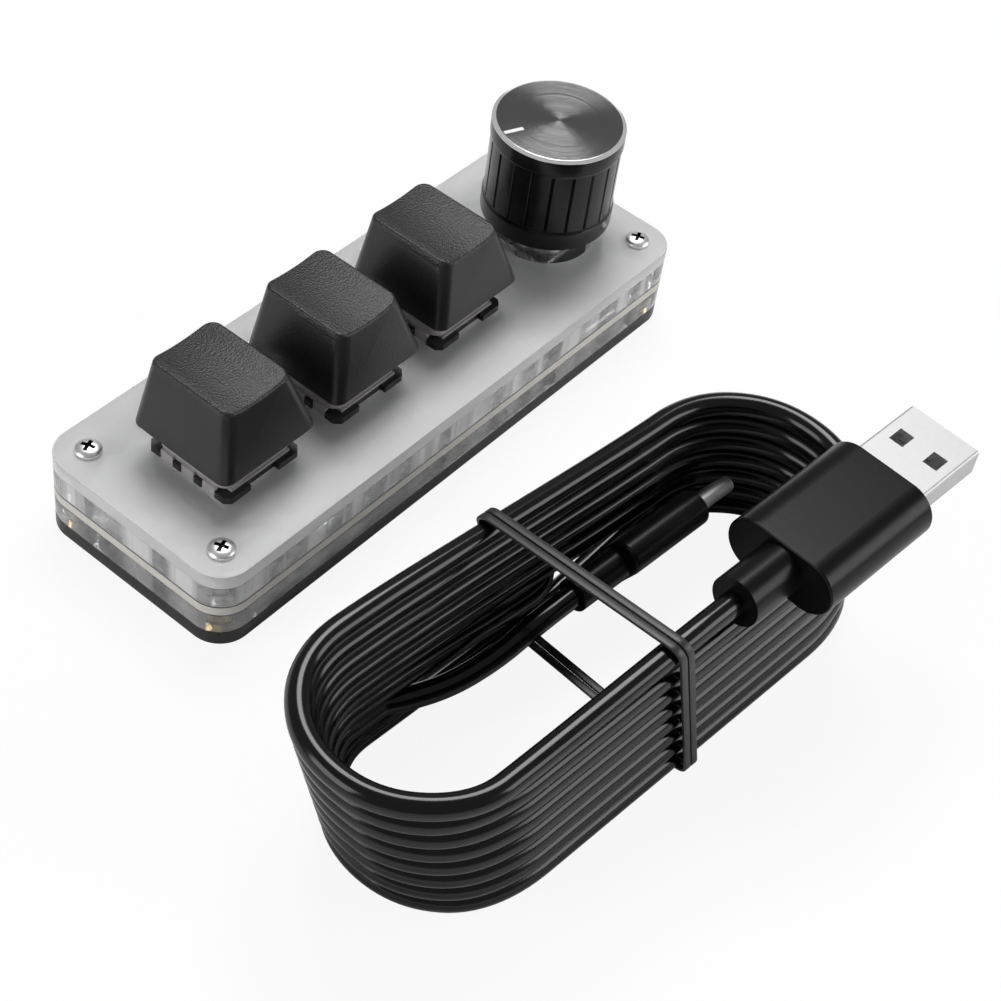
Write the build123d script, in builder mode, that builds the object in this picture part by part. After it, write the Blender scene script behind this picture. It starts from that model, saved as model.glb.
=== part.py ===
"""Three-key keypad with a rotary knob, and the coiled lead that plugs into it.

Millimetres. +Z is up, +X runs along the row of keys towards the knob and -Y is the side facing the user.
The origin is at the middle of the base plate's underside. The lead lies beside the keypad, unplugged.
"""
import math
import os

from build123d import *

os.makedirs("parts", exist_ok=True)

# Casing: five layers of one outline, from the bottom up.
case_length = 107.0
case_width = 37.2
case_corner = 5.2
base_thickness = 2.65
lower_height = 3.8
board_thickness = 1.9
upper_height = 3.85
top_thickness = 2.4
edge_round = 0.25
frame_round = 0.15
board_bottom = base_thickness + lower_height
board_top = board_bottom + board_thickness
top_bottom = board_top + upper_height
top_z = top_bottom + top_thickness

# Windows in both clear frames: one for the keys, one for the encoder.
window_y = -0.66
key_window_left = -44.0
key_window_right = 23.3
window_depth = 23.9
window_corner = 2.0
encoder_window = 16.0

# Corner fasteners.
fastener_inset = 5.15
thread_radius = 1.25
thread_gap = 0.05
hole_gap = 0.15
pan_radius = 2.1
pan_side = 0.45
pan_height = 1.15
cross_length = 2.3
cross_width = 0.65
cross_depth = 0.7
top_screw_reach = 9.8
sunk_radius = 2.3
sunk_recess = 0.1
base_screw_end = 4.3
standoff_radius = 2.1
standoff_groove = 0.7
standoff_groove_depth = 0.35
fasteners = GridLocations(case_length - 2 * fastener_inset, case_width - 2 * fastener_inset, 2, 2)

# Key switches: a square housing clipped into the top plate, with its pins through the board.
key_count = 3
key_pitch = 23.0
first_key_x = -34.4
row_y = -0.15
key_travel = 4.0
slide_gap = 0.3
switch_body = 13.9
switch_hole = 14.0
flange_x = 15.2
flange_y = 16.4
flange_height = 1.2
flange_chamfer = 0.9
front_notch_width = 5.8
front_notch_depth = 1.0
housing_depth = 5.0
housing_floor = 1.1
cavity_x = 10.8
cavity_y = 11.6
post_radius = 1.95
post_length = 3.0
guide_radius = 1.65
guide_bore = 1.1
guide_top = 14.0
guide_bore_bottom = 8.0
flange_top = top_z + flange_height
housing_bottom = top_z - housing_depth
floor_top = housing_bottom + housing_floor

# Upper housing, clear, with three clip legs on each end.
foot_x = 15.0
foot_y = 14.6
foot_bar = 11.8
foot_height = 0.5
cover_base = 14.0
cover_top = 11.0
cover_top_z = 21.2
cover_inner_base = 12.2
cover_inner_top = 10.2
cover_ceiling = 20.0
stem_opening_x = 7.8
stem_opening_y = 6.1
leg_offset = 4.2
leg_width = 2.4
leg_inner = 6.9
leg_root = 6.4
leg_bottom = 14.75
leg_gap = 0.1

# Stem, with the cross that carries the cap.
pedestal_x = stem_opening_x - 2 * slide_gap
pedestal_y = stem_opening_y - 2 * slide_gap
shoulder_x = 9.4
shoulder_bottom = 18.6
shoulder_top = cover_ceiling - slide_gap
sleeve_radius = 2.95
sleeve_bore = 2.45
sleeve_bottom = floor_top + key_travel + slide_gap
pole_radius = 0.85
pole_bottom = 13.2
stem_cross_length = 4.0
stem_cross_x = 1.3
stem_cross_y = 1.1
stem_cross_top = 24.8
cap_grip = 0.03

# Return spring, and the two contact leaves with their pins.
spring_radius = 2.05
spring_wire = 0.16
spring_turns = 8
spring_seat = 0.03
contact_places = ((-3.81, 2.54), (2.54, 5.08))
contact_width = 1.0
contact_thickness = 0.3
contact_top = 14.2
contact_bottom = 5.4
contact_gap = 0.05
contact_hole_radius = 0.75

# Keycap: sides slope in, the front more than the back, and the top is a shallow trough along Y.
cap_bottom_z = 20.4
cap_top_z = 30.85
cap_base = 19.2
cap_base_corner = 1.8
cap_top_x = 12.65
cap_top_y = 15.8
cap_top_corner = 2.0
cap_top_shift = 1.3
cap_dish_depth = 0.6
cap_wall = 1.0
cap_ceiling_z = 28.4
cap_ceiling_x = 11.6
cap_ceiling_y = 13.6
cap_ceiling_corner = 1.0
cap_boss_radius = 2.7
cap_boss_bottom = 21.6
cap_socket_top = 25.2
cap_overshoot = 0.8
cap_edge_round = 0.45

# Rotary encoder with a push switch, and its knob.
knob_x = 38.9
knob_y = -0.66
encoder_hole_radius = 8.5
push_travel = 0.5
encoder_x = 11.6
encoder_y = 11.6
encoder_chamfer = 0.6
encoder_base_top = 13.4
rotor_chamber_radius = 5.2
rotor_chamber_bottom = 11.0
plunger_chamber_radius = 3.4
plunger_chamber_bottom = 9.2
bracket_thickness = 0.8
bracket_leg_thickness = 0.6
bracket_leg_width = 8.0
bracket_leg_bottom = board_top + 0.1
bracket_length_y = 11.2
bracket_chamfer = 1.2
tab_width = 2.0
tab_bottom = 5.6
sheet_gap = 0.05
bushing_radius = 3.45
bushing_collar_radius = 4.6
bushing_collar_height = 0.8
bushing_top = 22.0
shaft_radius = 3.0
shaft_gap = 0.05
shaft_shoulder = 14.2
shaft_bottom = 10.35
shaft_flat_from = 23.5
shaft_flat_offset = 1.5
drive_radius = 2.4
drive_flat = 1.7
drive_gap = 0.1
rotor_radius = 4.8
rotor_bottom = 11.3
rotor_top = 12.9
detent_count = 20
detent_radius = 0.3
plunger_radius = 3.1
plunger_bottom = 9.85
plunger_top = 10.25
dome_radius = 3.0
dome_height = 0.55
dome_thickness = 0.12
pin_width = 0.8
pin_thickness = 0.4
pin_level = 9.0
signal_pins = ((-2.5, -7.5), (0.0, -7.5), (2.5, -7.5))
push_pins = ((-2.5, 7.0), (2.5, 7.0))
pin_hole_radius = 0.6

knob_foot_z = 19.1
knob_top_z = 37.07
knob_foot_radius = 10.8
knob_body_radius = 10.55
knob_band_radius = 10.75
knob_face_radius = 10.14
knob_chamfer_height = 0.33
knob_band_height = 2.77
knob_neck_height = 0.6
knob_chamfer_z = knob_top_z - knob_chamfer_height
knob_band_bottom = knob_top_z - knob_band_height
knob_body_top = knob_band_bottom - knob_neck_height
knob_skirt_top = 22.4
knob_foot_round = 0.5
groove_count = 20
groove_radius = 0.32
groove_bottom = 22.9
groove_overlap = 0.2
groove_top = knob_body_top + groove_overlap
knob_bore_radius = 7.0
knob_face_thickness = 2.47
knob_bore_top = knob_top_z - knob_face_thickness
core_gap = 0.02
core_bottom = 20.0
core_end_gap = 0.1
core_top = knob_bore_top - core_end_gap
core_counterbore_radius = 4.9
core_counterbore_top = 23.2
core_end_thickness = 1.1
core_shaft_top = core_top - core_end_thickness
shaft_end_gap = 0.4
shaft_top = core_shaft_top - shaft_end_gap
pointer_angle = 157.0
pointer_inner = 6.5
pointer_outer = 9.9
pointer_width = 0.75
pointer_depth = 0.35

# Board parts: the socket on the back edge, and the chips under the board.
socket_x = 0.0
socket_width = 8.94
socket_height = 3.2
socket_corner = 1.3
socket_depth = 7.3
socket_wall = 0.28
socket_notch_gap = 0.25
tongue_width = 6.7
tongue_thickness = 0.7
tongue_length = 4.5
tongue_block = 1.9
chip_size = 7.0
chip_height = 0.95
chip_y = -3.0
passive_length = 1.6
passive_width = 0.85
passive_height = 0.7
passive_pitch_x = 3.2
passive_pitch_y = 15.0

# Lead: a hank of level loops, one above another, tied across the middle.
hank_x = -27.6
hank_y = -60.6
hank_angle = -4.46
lead_diameter = 3.5
lead_gap = 0.56
hank_width = 34.3
turn_count = 8
left_end_bottom = -23.7
left_end_step = -1.07
right_end_bottom = 37.7
right_end_step = -0.74
tie_foot_u = 7.2
tie_head_u = -3.0
tie_width = 2.6
tie_thickness = 0.5
tie_gap = 0.2
tie_slit = 0.25
tie_join = 3.0
tie_far_share = 0.7
lead_radius = lead_diameter / 2
loop_radius = (hank_width - lead_diameter) / 2
layer_pitch = lead_diameter + lead_gap
lead_straight = 3.5
crossing_out = 28.0
crossing_up = 17.0
crossing_in = 9.5
crossing_down = 12.0
crossing_level = 6.9

# Large plug at the lead's upper end.
a_start = 9.7
a_offset = -16.0
a_collar_length = 9.2
a_collar_radius = 3.8
a_grip_length = 22.5
a_grip_width = 17.8
a_grip_thickness = 8.8
a_grip_round = 0.3
a_grip_gap = 0.3
a_shell_length = 14.4
a_shell_width = 12.0
a_shell_height = 4.5
a_shell_wall = 0.3
a_shell_corner = 0.5
a_window_width = 2.4
a_window_length = 2.9
a_window_spacing = 5.9
a_window_back = 6.5
a_insert_width = 11.3
a_insert_height = 1.9
a_insert_recess = 0.6
a_contact_places = (-3.5, -1.0, 1.0, 3.5)
a_contact_width = 1.0
a_contact_length = 3.4
a_contact_height = 0.15
a_contact_recess = 1.5

# Small plug at the lead's lower end, on its narrow side inside the loops and leaning towards the user.
c_sleeve_start = 9.4
c_sleeve_length = 9.5
c_sleeve_radius = 2.6
c_offset = 8.8
c_level = 12.0
c_lean = 30.0
peel_u = -11.5
peel_v = 10.9
c_grip_length = 16.1
c_grip_width = 9.4
c_grip_thickness = 5.6
c_grip_round = 0.5
c_shell_length = 6.5
c_shell_width = 8.25
c_shell_height = 2.4
c_shell_wall = 0.3

key_places = [first_key_x + key_pitch * number for number in range(key_count)]
case_outline = RectangleRounded(case_length, case_width, case_corner)
key_window_place = ((key_window_left + key_window_right) / 2, window_y)
key_window_size = key_window_right - key_window_left


# Casing layers

with BuildPart() as base_plate:
    with BuildSketch():
        add(case_outline)
    extrude(amount=base_thickness)
    fillet(base_plate.edges().group_by(Axis.Z)[0], edge_round)
    with Locations(Plane(origin=(0, 0, 0), z_dir=(0, 0, -1))):
        with fasteners:
            CounterSinkHole(
                thread_radius + hole_gap,
                sunk_radius + sunk_recess + thread_gap,
                counter_sink_angle=90,
            )
base_plate.part.label = "base_plate"
export_step(base_plate.part, "parts/base_plate.step")

with BuildPart() as lower_frame:
    with BuildSketch(Plane.XY.offset(base_thickness)):
        add(case_outline)
        with Locations(key_window_place):
            RectangleRounded(key_window_size, window_depth, window_corner, mode=Mode.SUBTRACT)
        with Locations((knob_x, knob_y)):
            RectangleRounded(encoder_window, encoder_window, window_corner, mode=Mode.SUBTRACT)
        with fasteners:
            Circle(standoff_radius + hole_gap, mode=Mode.SUBTRACT)
    extrude(amount=lower_height)
    fillet(lower_frame.faces().sort_by(Axis.Z)[0].outer_wire().edges(), frame_round)
    fillet(lower_frame.faces().sort_by(Axis.Z)[-1].outer_wire().edges(), frame_round)
lower_frame.part.label = "lower_frame"
export_step(lower_frame.part, "parts/lower_frame.step")

with BuildPart() as circuit_board:
    with BuildSketch(Plane.XY.offset(board_bottom)):
        add(case_outline)
        with fasteners:
            Circle(thread_radius + hole_gap, mode=Mode.SUBTRACT)
        for key_x in key_places:
            with Locations((key_x, row_y)):
                Circle(post_radius + contact_gap, mode=Mode.SUBTRACT)
                with Locations(*contact_places):
                    Circle(contact_hole_radius, mode=Mode.SUBTRACT)
        with Locations((knob_x, knob_y)):
            with Locations(*signal_pins, *push_pins):
                Circle(pin_hole_radius, mode=Mode.SUBTRACT)
            with GridLocations(encoder_x + 2 * sheet_gap + bracket_leg_thickness, 0, 2, 1):
                Rectangle(bracket_leg_thickness + 2 * hole_gap, tab_width + 2 * hole_gap, mode=Mode.SUBTRACT)
    extrude(amount=board_thickness)
circuit_board.part.label = "circuit_board"
export_step(circuit_board.part, "parts/circuit_board.step")

with BuildPart() as upper_frame:
    with BuildSketch(Plane.XY.offset(board_top)):
        add(case_outline)
        with Locations(key_window_place):
            RectangleRounded(key_window_size, window_depth, window_corner, mode=Mode.SUBTRACT)
        with Locations((knob_x, knob_y)):
            RectangleRounded(encoder_window, encoder_window, window_corner, mode=Mode.SUBTRACT)
        with Locations((socket_x, case_width / 2)):
            Rectangle(socket_width + 2 * socket_notch_gap, 2 * (socket_depth + slide_gap), mode=Mode.SUBTRACT)
        with fasteners:
            Circle(thread_radius + hole_gap, mode=Mode.SUBTRACT)
    extrude(amount=upper_height)
    fillet(upper_frame.faces().sort_by(Axis.Z)[0].outer_wire().edges(), frame_round)
    fillet(upper_frame.faces().sort_by(Axis.Z)[-1].outer_wire().edges(), frame_round)
upper_frame.part.label = "upper_frame"
export_step(upper_frame.part, "parts/upper_frame.step")

with BuildPart() as top_plate:
    with BuildSketch(Plane.XY.offset(top_bottom)):
        add(case_outline)
        for key_x in key_places:
            with Locations((key_x, row_y)):
                Rectangle(switch_hole, switch_hole, mode=Mode.SUBTRACT)
        with Locations((knob_x, knob_y)):
            Circle(encoder_hole_radius, mode=Mode.SUBTRACT)
        with fasteners:
            Circle(thread_radius + hole_gap, mode=Mode.SUBTRACT)
    extrude(amount=top_thickness)
    rim = top_plate.faces().sort_by(Axis.Z)[-1].outer_wire()
    fillet(rim.edges(), edge_round)
top_plate.part.label = "top_plate"
export_step(top_plate.part, "parts/top_plate.step")


# Corner fasteners, each kind one group of four

with BuildPart() as standoffs:
    with BuildSketch(Plane.XY.offset(base_thickness)):
        with fasteners:
            Circle(standoff_radius)
            Circle(thread_radius + thread_gap, mode=Mode.SUBTRACT)
    extrude(amount=lower_height)
    with BuildSketch(Plane.XY.offset(base_thickness + (lower_height - standoff_groove) / 2)):
        with fasteners:
            Circle(standoff_radius)
            Circle(standoff_radius - standoff_groove_depth, mode=Mode.SUBTRACT)
    extrude(amount=standoff_groove, mode=Mode.SUBTRACT)
standoffs.part.label = "standoffs"
export_step(standoffs.part, "parts/standoffs.step")

crown_rise = pan_height - pan_side
crown_radius = (pan_radius**2 + crown_rise**2) / (2 * crown_rise)
crown_angle = math.asin(pan_radius / crown_radius)
crown_centre = pan_height - crown_radius

with BuildPart() as top_screws:
    for place in fasteners.locations:
        axis_plane = Plane(origin=place.position + (0, 0, top_z), x_dir=(1, 0, 0), z_dir=(0, -1, 0))
        with BuildSketch(axis_plane):
            with BuildLine():
                side = Polyline(
                    (0, -top_screw_reach),
                    (thread_radius, -top_screw_reach),
                    (thread_radius, 0),
                    (pan_radius, 0),
                    (pan_radius, pan_side),
                )
                crown = ThreePointArc(
                    side @ 1,
                    (crown_radius * math.sin(crown_angle / 2), crown_centre + crown_radius * math.cos(crown_angle / 2)),
                    (0, pan_height),
                )
                Line(crown @ 1, side @ 0)
            make_face()
        revolve(axis=Axis(axis_plane.origin, (0, 0, 1)))
    with BuildSketch(Plane.XY.offset(top_z + pan_height)):
        with fasteners:
            Rectangle(cross_length, cross_width)
            Rectangle(cross_width, cross_length)
    extrude(amount=-cross_depth, mode=Mode.SUBTRACT)
top_screws.part.label = "top_screws"
export_step(top_screws.part, "parts/top_screws.step")

with BuildPart() as base_screws:
    for place in fasteners.locations:
        axis_plane = Plane(origin=place.position, x_dir=(1, 0, 0), z_dir=(0, -1, 0))
        with BuildSketch(axis_plane):
            with BuildLine():
                Polyline(
                    (0, sunk_recess),
                    (sunk_radius, sunk_recess),
                    (thread_radius, sunk_recess + sunk_radius - thread_radius),
                    (thread_radius, base_screw_end),
                    (0, base_screw_end),
                    close=True,
                )
            make_face()
        revolve(axis=Axis(axis_plane.origin, (0, 0, 1)))
    with BuildSketch(Plane.XY.offset(sunk_recess)):
        with fasteners:
            Rectangle(cross_length, cross_width)
            Rectangle(cross_width, cross_length)
    extrude(amount=cross_depth, mode=Mode.SUBTRACT)
base_screws.part.label = "base_screws"
export_step(base_screws.part, "parts/base_screws.step")


# Key switches and caps, the same set three times along the row

for number, key_x in enumerate(key_places, 1):
    key_plane = Plane(origin=(key_x, row_y, 0))

    with BuildPart() as switch_base:
        with BuildSketch(key_plane.offset(housing_bottom)):
            Rectangle(switch_body, switch_body)
        extrude(amount=housing_depth)
        with BuildSketch(key_plane.offset(top_z)):
            Rectangle(flange_x, flange_y)
            chamfer(vertices(), flange_chamfer)
            with Locations((0, flange_y / 2), (0, -flange_y / 2)):
                Rectangle(front_notch_width, 2 * front_notch_depth, mode=Mode.SUBTRACT)
            with GridLocations(flange_x, leg_offset, 2, 3):
                Rectangle(
                    flange_x - 2 * (leg_inner - leg_gap),
                    leg_width + 2 * leg_gap,
                    mode=Mode.SUBTRACT,
                )
        extrude(amount=flange_height)
        with BuildSketch(key_plane.offset(floor_top)):
            Rectangle(cavity_x, cavity_y)
        extrude(amount=flange_top - floor_top, mode=Mode.SUBTRACT)
        with BuildSketch(key_plane.offset(floor_top)):
            Circle(guide_radius)
        extrude(amount=guide_top - floor_top)
        with BuildSketch(key_plane.offset(housing_bottom)):
            Circle(post_radius)
        extrude(amount=-post_length)
        with BuildSketch(key_plane.offset(guide_bore_bottom)):
            Circle(guide_bore)
        extrude(amount=guide_top - guide_bore_bottom, mode=Mode.SUBTRACT)
        with BuildSketch(key_plane.offset(housing_bottom)):
            with Locations(*contact_places):
                Rectangle(contact_width + 2 * contact_gap, contact_thickness + 2 * contact_gap)
        extrude(amount=housing_floor, mode=Mode.SUBTRACT)
    switch_base.part.label = f"switch_{number}_base"
    export_step(switch_base.part, f"parts/switch_{number}_base.step")

    with BuildPart() as switch_cover:
        with BuildSketch(key_plane.offset(flange_top)):
            Rectangle(foot_bar, foot_y)
            with GridLocations(leg_root + foot_x / 2, leg_offset, 2, 3):
                Rectangle(foot_x / 2 - leg_root, leg_width)
            Rectangle(cover_base, cover_base - 2 * window_corner)
        extrude(amount=foot_height)
        with BuildSketch(key_plane.offset(flange_top + foot_height)):
            RectangleRounded(cover_base, cover_base, window_corner)
        with BuildSketch(key_plane.offset(cover_top_z)):
            RectangleRounded(cover_top, cover_top, window_corner)
        loft()
        with BuildSketch(key_plane.offset(flange_top)):
            Rectangle(cover_inner_base, cover_inner_base)
        with BuildSketch(key_plane.offset(cover_ceiling)):
            Rectangle(cover_inner_top, cover_inner_top)
        loft(mode=Mode.SUBTRACT)
        with BuildSketch(key_plane.offset(cover_ceiling)):
            Rectangle(stem_opening_x, stem_opening_y)
        extrude(amount=cover_top_z - cover_ceiling, mode=Mode.SUBTRACT)
        with BuildSketch(key_plane.offset(leg_bottom)):
            with GridLocations(leg_inner + foot_x / 2, leg_offset, 2, 3):
                Rectangle(foot_x / 2 - leg_inner, leg_width)
        extrude(amount=flange_top - leg_bottom)
    switch_cover.part.label = f"switch_{number}_cover"
    export_step(switch_cover.part, f"parts/switch_{number}_cover.step")

    with BuildPart() as switch_stem:
        with BuildSketch(key_plane.offset(sleeve_bottom)):
            Circle(sleeve_radius)
            Circle(sleeve_bore, mode=Mode.SUBTRACT)
        extrude(amount=shoulder_bottom - sleeve_bottom)
        with BuildSketch(key_plane.offset(shoulder_bottom)):
            Rectangle(shoulder_x, pedestal_y)
        extrude(amount=shoulder_top - shoulder_bottom)
        with BuildSketch(key_plane.offset(shoulder_top)):
            Rectangle(pedestal_x, pedestal_y)
        extrude(amount=cover_top_z - shoulder_top)
        with BuildSketch(key_plane.offset(cover_top_z)):
            Rectangle(stem_cross_length, stem_cross_x)
            Rectangle(stem_cross_y, stem_cross_length)
        extrude(amount=stem_cross_top - cover_top_z)
        with BuildSketch(key_plane.offset(pole_bottom)):
            Circle(pole_radius)
        extrude(amount=shoulder_bottom - pole_bottom)
    switch_stem.part.label = f"switch_{number}_stem"
    export_step(switch_stem.part, f"parts/switch_{number}_stem.step")

    spring_low = floor_top + spring_wire + spring_seat
    spring_high = shoulder_bottom - spring_wire - spring_seat
    with BuildPart() as switch_spring:
        with BuildLine() as coil:
            Helix(
                (spring_high - spring_low) / spring_turns,
                spring_high - spring_low,
                spring_radius,
                center=(key_x, row_y, spring_low),
            )
        with BuildSketch(Plane(origin=coil.line @ 0, z_dir=coil.line % 0)):
            Circle(spring_wire)
        sweep(path=coil.line, is_frenet=True)
    switch_spring.part.label = f"switch_{number}_spring"
    export_step(switch_spring.part, f"parts/switch_{number}_spring.step")

    with BuildPart() as switch_contacts:
        with BuildSketch(key_plane.offset(contact_bottom)):
            with Locations(*contact_places):
                Rectangle(contact_width, contact_thickness)
        extrude(amount=contact_top - contact_bottom)
    switch_contacts.part.label = f"switch_{number}_contacts"
    export_step(switch_contacts.part, f"parts/switch_{number}_contacts.step")

    dish_radius = ((cap_top_x / 2) ** 2 + cap_dish_depth**2) / (2 * cap_dish_depth)
    cap_slope = (cap_top_z + cap_overshoot - cap_bottom_z) / (cap_top_z - cap_bottom_z)
    with BuildPart() as keycap:
        with BuildSketch(key_plane.offset(cap_bottom_z)):
            RectangleRounded(cap_base, cap_base, cap_base_corner)
        with BuildSketch(key_plane.offset(cap_top_z + cap_overshoot)):
            with Locations((0, cap_top_shift * cap_slope)):
                RectangleRounded(
                    cap_base + (cap_top_x - cap_base) * cap_slope,
                    cap_base + (cap_top_y - cap_base) * cap_slope,
                    cap_top_corner,
                )
        loft()
        dish_plane = Plane(
            origin=(key_x, row_y, cap_top_z - cap_dish_depth + dish_radius),
            x_dir=(1, 0, 0),
            z_dir=(0, 1, 0),
        )
        with BuildSketch(dish_plane):
            Circle(dish_radius)
        extrude(amount=cap_base, both=True, mode=Mode.SUBTRACT)
        top_face = keycap.faces().sort_by(Axis.Z)[-1]
        fillet(top_face.edges(), cap_edge_round)
        with BuildSketch(key_plane.offset(cap_bottom_z)):
            RectangleRounded(cap_base - 2 * cap_wall, cap_base - 2 * cap_wall, cap_base_corner - cap_wall)
        with BuildSketch(key_plane.offset(cap_ceiling_z)):
            with Locations((0, cap_top_shift * (cap_ceiling_z - cap_bottom_z) / (cap_top_z - cap_bottom_z))):
                RectangleRounded(cap_ceiling_x, cap_ceiling_y, cap_ceiling_corner)
        loft(mode=Mode.SUBTRACT)
        with BuildSketch(key_plane.offset(cap_boss_bottom)):
            Circle(cap_boss_radius)
        extrude(amount=cap_ceiling_z - cap_boss_bottom)
        with BuildSketch(key_plane.offset(cap_boss_bottom)):
            Rectangle(stem_cross_length + 2 * cap_grip, stem_cross_x + 2 * cap_grip)
            Rectangle(stem_cross_y + 2 * cap_grip, stem_cross_length + 2 * cap_grip)
        extrude(amount=cap_socket_top - cap_boss_bottom, mode=Mode.SUBTRACT)
    keycap.part.label = f"keycap_{number}"
    export_step(keycap.part, f"parts/keycap_{number}.step")


# Rotary encoder

knob_plane = Plane(origin=(knob_x, knob_y, 0))
knob_axis = Axis((knob_x, knob_y, 0), (0, 0, 1))
knob_section = Plane(origin=(knob_x, knob_y, 0), x_dir=(1, 0, 0), z_dir=(0, -1, 0))
bracket_top = encoder_base_top + bracket_thickness

with BuildPart() as encoder_base:
    with BuildSketch(knob_plane.offset(board_top)):
        Rectangle(encoder_x, encoder_y)
        chamfer(vertices(), encoder_chamfer)
    extrude(amount=encoder_base_top - board_top)
    with BuildSketch(knob_plane.offset(rotor_chamber_bottom)):
        Circle(rotor_chamber_radius)
    extrude(amount=encoder_base_top - rotor_chamber_bottom, mode=Mode.SUBTRACT)
    with BuildSketch(knob_plane.offset(plunger_chamber_bottom)):
        Circle(plunger_chamber_radius)
    extrude(amount=rotor_chamber_bottom - plunger_chamber_bottom, mode=Mode.SUBTRACT)
encoder_base.part.label = "encoder_base"
export_step(encoder_base.part, "parts/encoder_base.step")

with BuildPart() as encoder_bracket:
    leg_centre = encoder_x + 2 * sheet_gap + bracket_leg_thickness
    with BuildSketch(knob_plane.offset(encoder_base_top)):
        Rectangle(leg_centre + bracket_leg_thickness, bracket_length_y)
        chamfer(vertices(), bracket_chamfer)
        Circle(bushing_radius + sheet_gap, mode=Mode.SUBTRACT)
    extrude(amount=bracket_thickness)
    with BuildSketch(knob_plane.offset(bracket_leg_bottom)):
        with GridLocations(leg_centre, 0, 2, 1):
            Rectangle(bracket_leg_thickness, bracket_leg_width)
    extrude(amount=encoder_base_top - bracket_leg_bottom)
    with BuildSketch(knob_plane.offset(tab_bottom)):
        with GridLocations(leg_centre, 0, 2, 1):
            Rectangle(bracket_leg_thickness, tab_width)
    extrude(amount=bracket_leg_bottom - tab_bottom)
encoder_bracket.part.label = "encoder_bracket"
export_step(encoder_bracket.part, "parts/encoder_bracket.step")

with BuildPart() as encoder_bushing:
    with BuildSketch(knob_plane.offset(encoder_base_top)):
        Circle(bushing_radius)
    extrude(amount=bushing_top - encoder_base_top)
    with BuildSketch(knob_plane.offset(bracket_top)):
        Circle(bushing_collar_radius)
    extrude(amount=bushing_collar_height)
    with BuildSketch(knob_plane.offset(encoder_base_top)):
        Circle(shaft_radius + shaft_gap)
    extrude(amount=bushing_top - encoder_base_top, mode=Mode.SUBTRACT)
encoder_bushing.part.label = "encoder_bushing"
export_step(encoder_bushing.part, "parts/encoder_bushing.step")

with BuildPart() as encoder_shaft:
    with BuildSketch(knob_plane.offset(shaft_shoulder)):
        Circle(shaft_radius)
    extrude(amount=shaft_top - shaft_shoulder)
    with BuildSketch(knob_plane.offset(shaft_flat_from)):
        with Locations((shaft_flat_offset + shaft_radius, 0)):
            Rectangle(2 * shaft_radius, 2 * shaft_radius)
    extrude(amount=shaft_top - shaft_flat_from, mode=Mode.SUBTRACT)
    with BuildSketch(knob_plane.offset(shaft_bottom)):
        Circle(drive_radius)
        Rectangle(2 * drive_radius, 2 * drive_flat, mode=Mode.INTERSECT)
    extrude(amount=shaft_shoulder - shaft_bottom)
encoder_shaft.part.label = "encoder_shaft"
export_step(encoder_shaft.part, "parts/encoder_shaft.step")

with BuildPart() as encoder_rotor:
    with BuildSketch(knob_plane.offset(rotor_bottom)):
        Circle(rotor_radius)
        with PolarLocations(rotor_radius, detent_count):
            Circle(detent_radius, mode=Mode.SUBTRACT)
        with BuildSketch(mode=Mode.SUBTRACT):
            Circle(drive_radius + drive_gap)
            Rectangle(2 * (drive_radius + drive_gap), 2 * (drive_flat + drive_gap), mode=Mode.INTERSECT)
    extrude(amount=rotor_top - rotor_bottom)
encoder_rotor.part.label = "encoder_rotor"
export_step(encoder_rotor.part, "parts/encoder_rotor.step")

with BuildPart() as encoder_plunger:
    with BuildSketch(knob_plane.offset(plunger_bottom)):
        Circle(plunger_radius)
    extrude(amount=plunger_top - plunger_bottom)
encoder_plunger.part.label = "encoder_plunger"
export_step(encoder_plunger.part, "parts/encoder_plunger.step")

with BuildPart() as encoder_dome:
    crown_z = plunger_chamber_bottom + dome_height
    with BuildSketch(knob_section):
        with BuildLine():
            under = ThreePointArc(
                (-dome_radius, plunger_chamber_bottom),
                (0, crown_z - dome_thickness),
                (dome_radius, plunger_chamber_bottom),
            )
            over = ThreePointArc(
                (-dome_radius, plunger_chamber_bottom + dome_thickness),
                (0, crown_z),
                (dome_radius, plunger_chamber_bottom + dome_thickness),
            )
            Line(under @ 0, over @ 0)
            Line(under @ 1, over @ 1)
        make_face()
        with Locations((dome_radius, crown_z)):
            Rectangle(2 * dome_radius, 4 * dome_height, mode=Mode.INTERSECT)
    revolve(axis=knob_axis)
encoder_dome.part.label = "encoder_dome"
export_step(encoder_dome.part, "parts/encoder_dome.step")

with BuildPart() as encoder_pins:
    for pin_x, pin_y in (*signal_pins, *push_pins):
        side = math.copysign(1, pin_y)
        arm = abs(pin_y) - encoder_y / 2 + pin_thickness / 2
        with BuildSketch(knob_plane.offset(pin_level)):
            with Locations((pin_x, side * (encoder_y + arm) / 2 + side * sheet_gap / 2)):
                Rectangle(pin_width, arm - sheet_gap)
        extrude(amount=pin_thickness)
        with BuildSketch(knob_plane.offset(tab_bottom)):
            with Locations((pin_x, pin_y)):
                Rectangle(pin_width, pin_thickness)
        extrude(amount=pin_level - tab_bottom)
encoder_pins.part.label = "encoder_pins"
export_step(encoder_pins.part, "parts/encoder_pins.step")


# Knob

pointer_turn = math.radians(pointer_angle)
pointer_plane = Plane(
    origin=(knob_x, knob_y, knob_top_z),
    x_dir=(math.cos(pointer_turn), math.sin(pointer_turn), 0),
    z_dir=(0, 0, 1),
)
pointer_middle = (pointer_inner + pointer_outer) / 2

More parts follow.
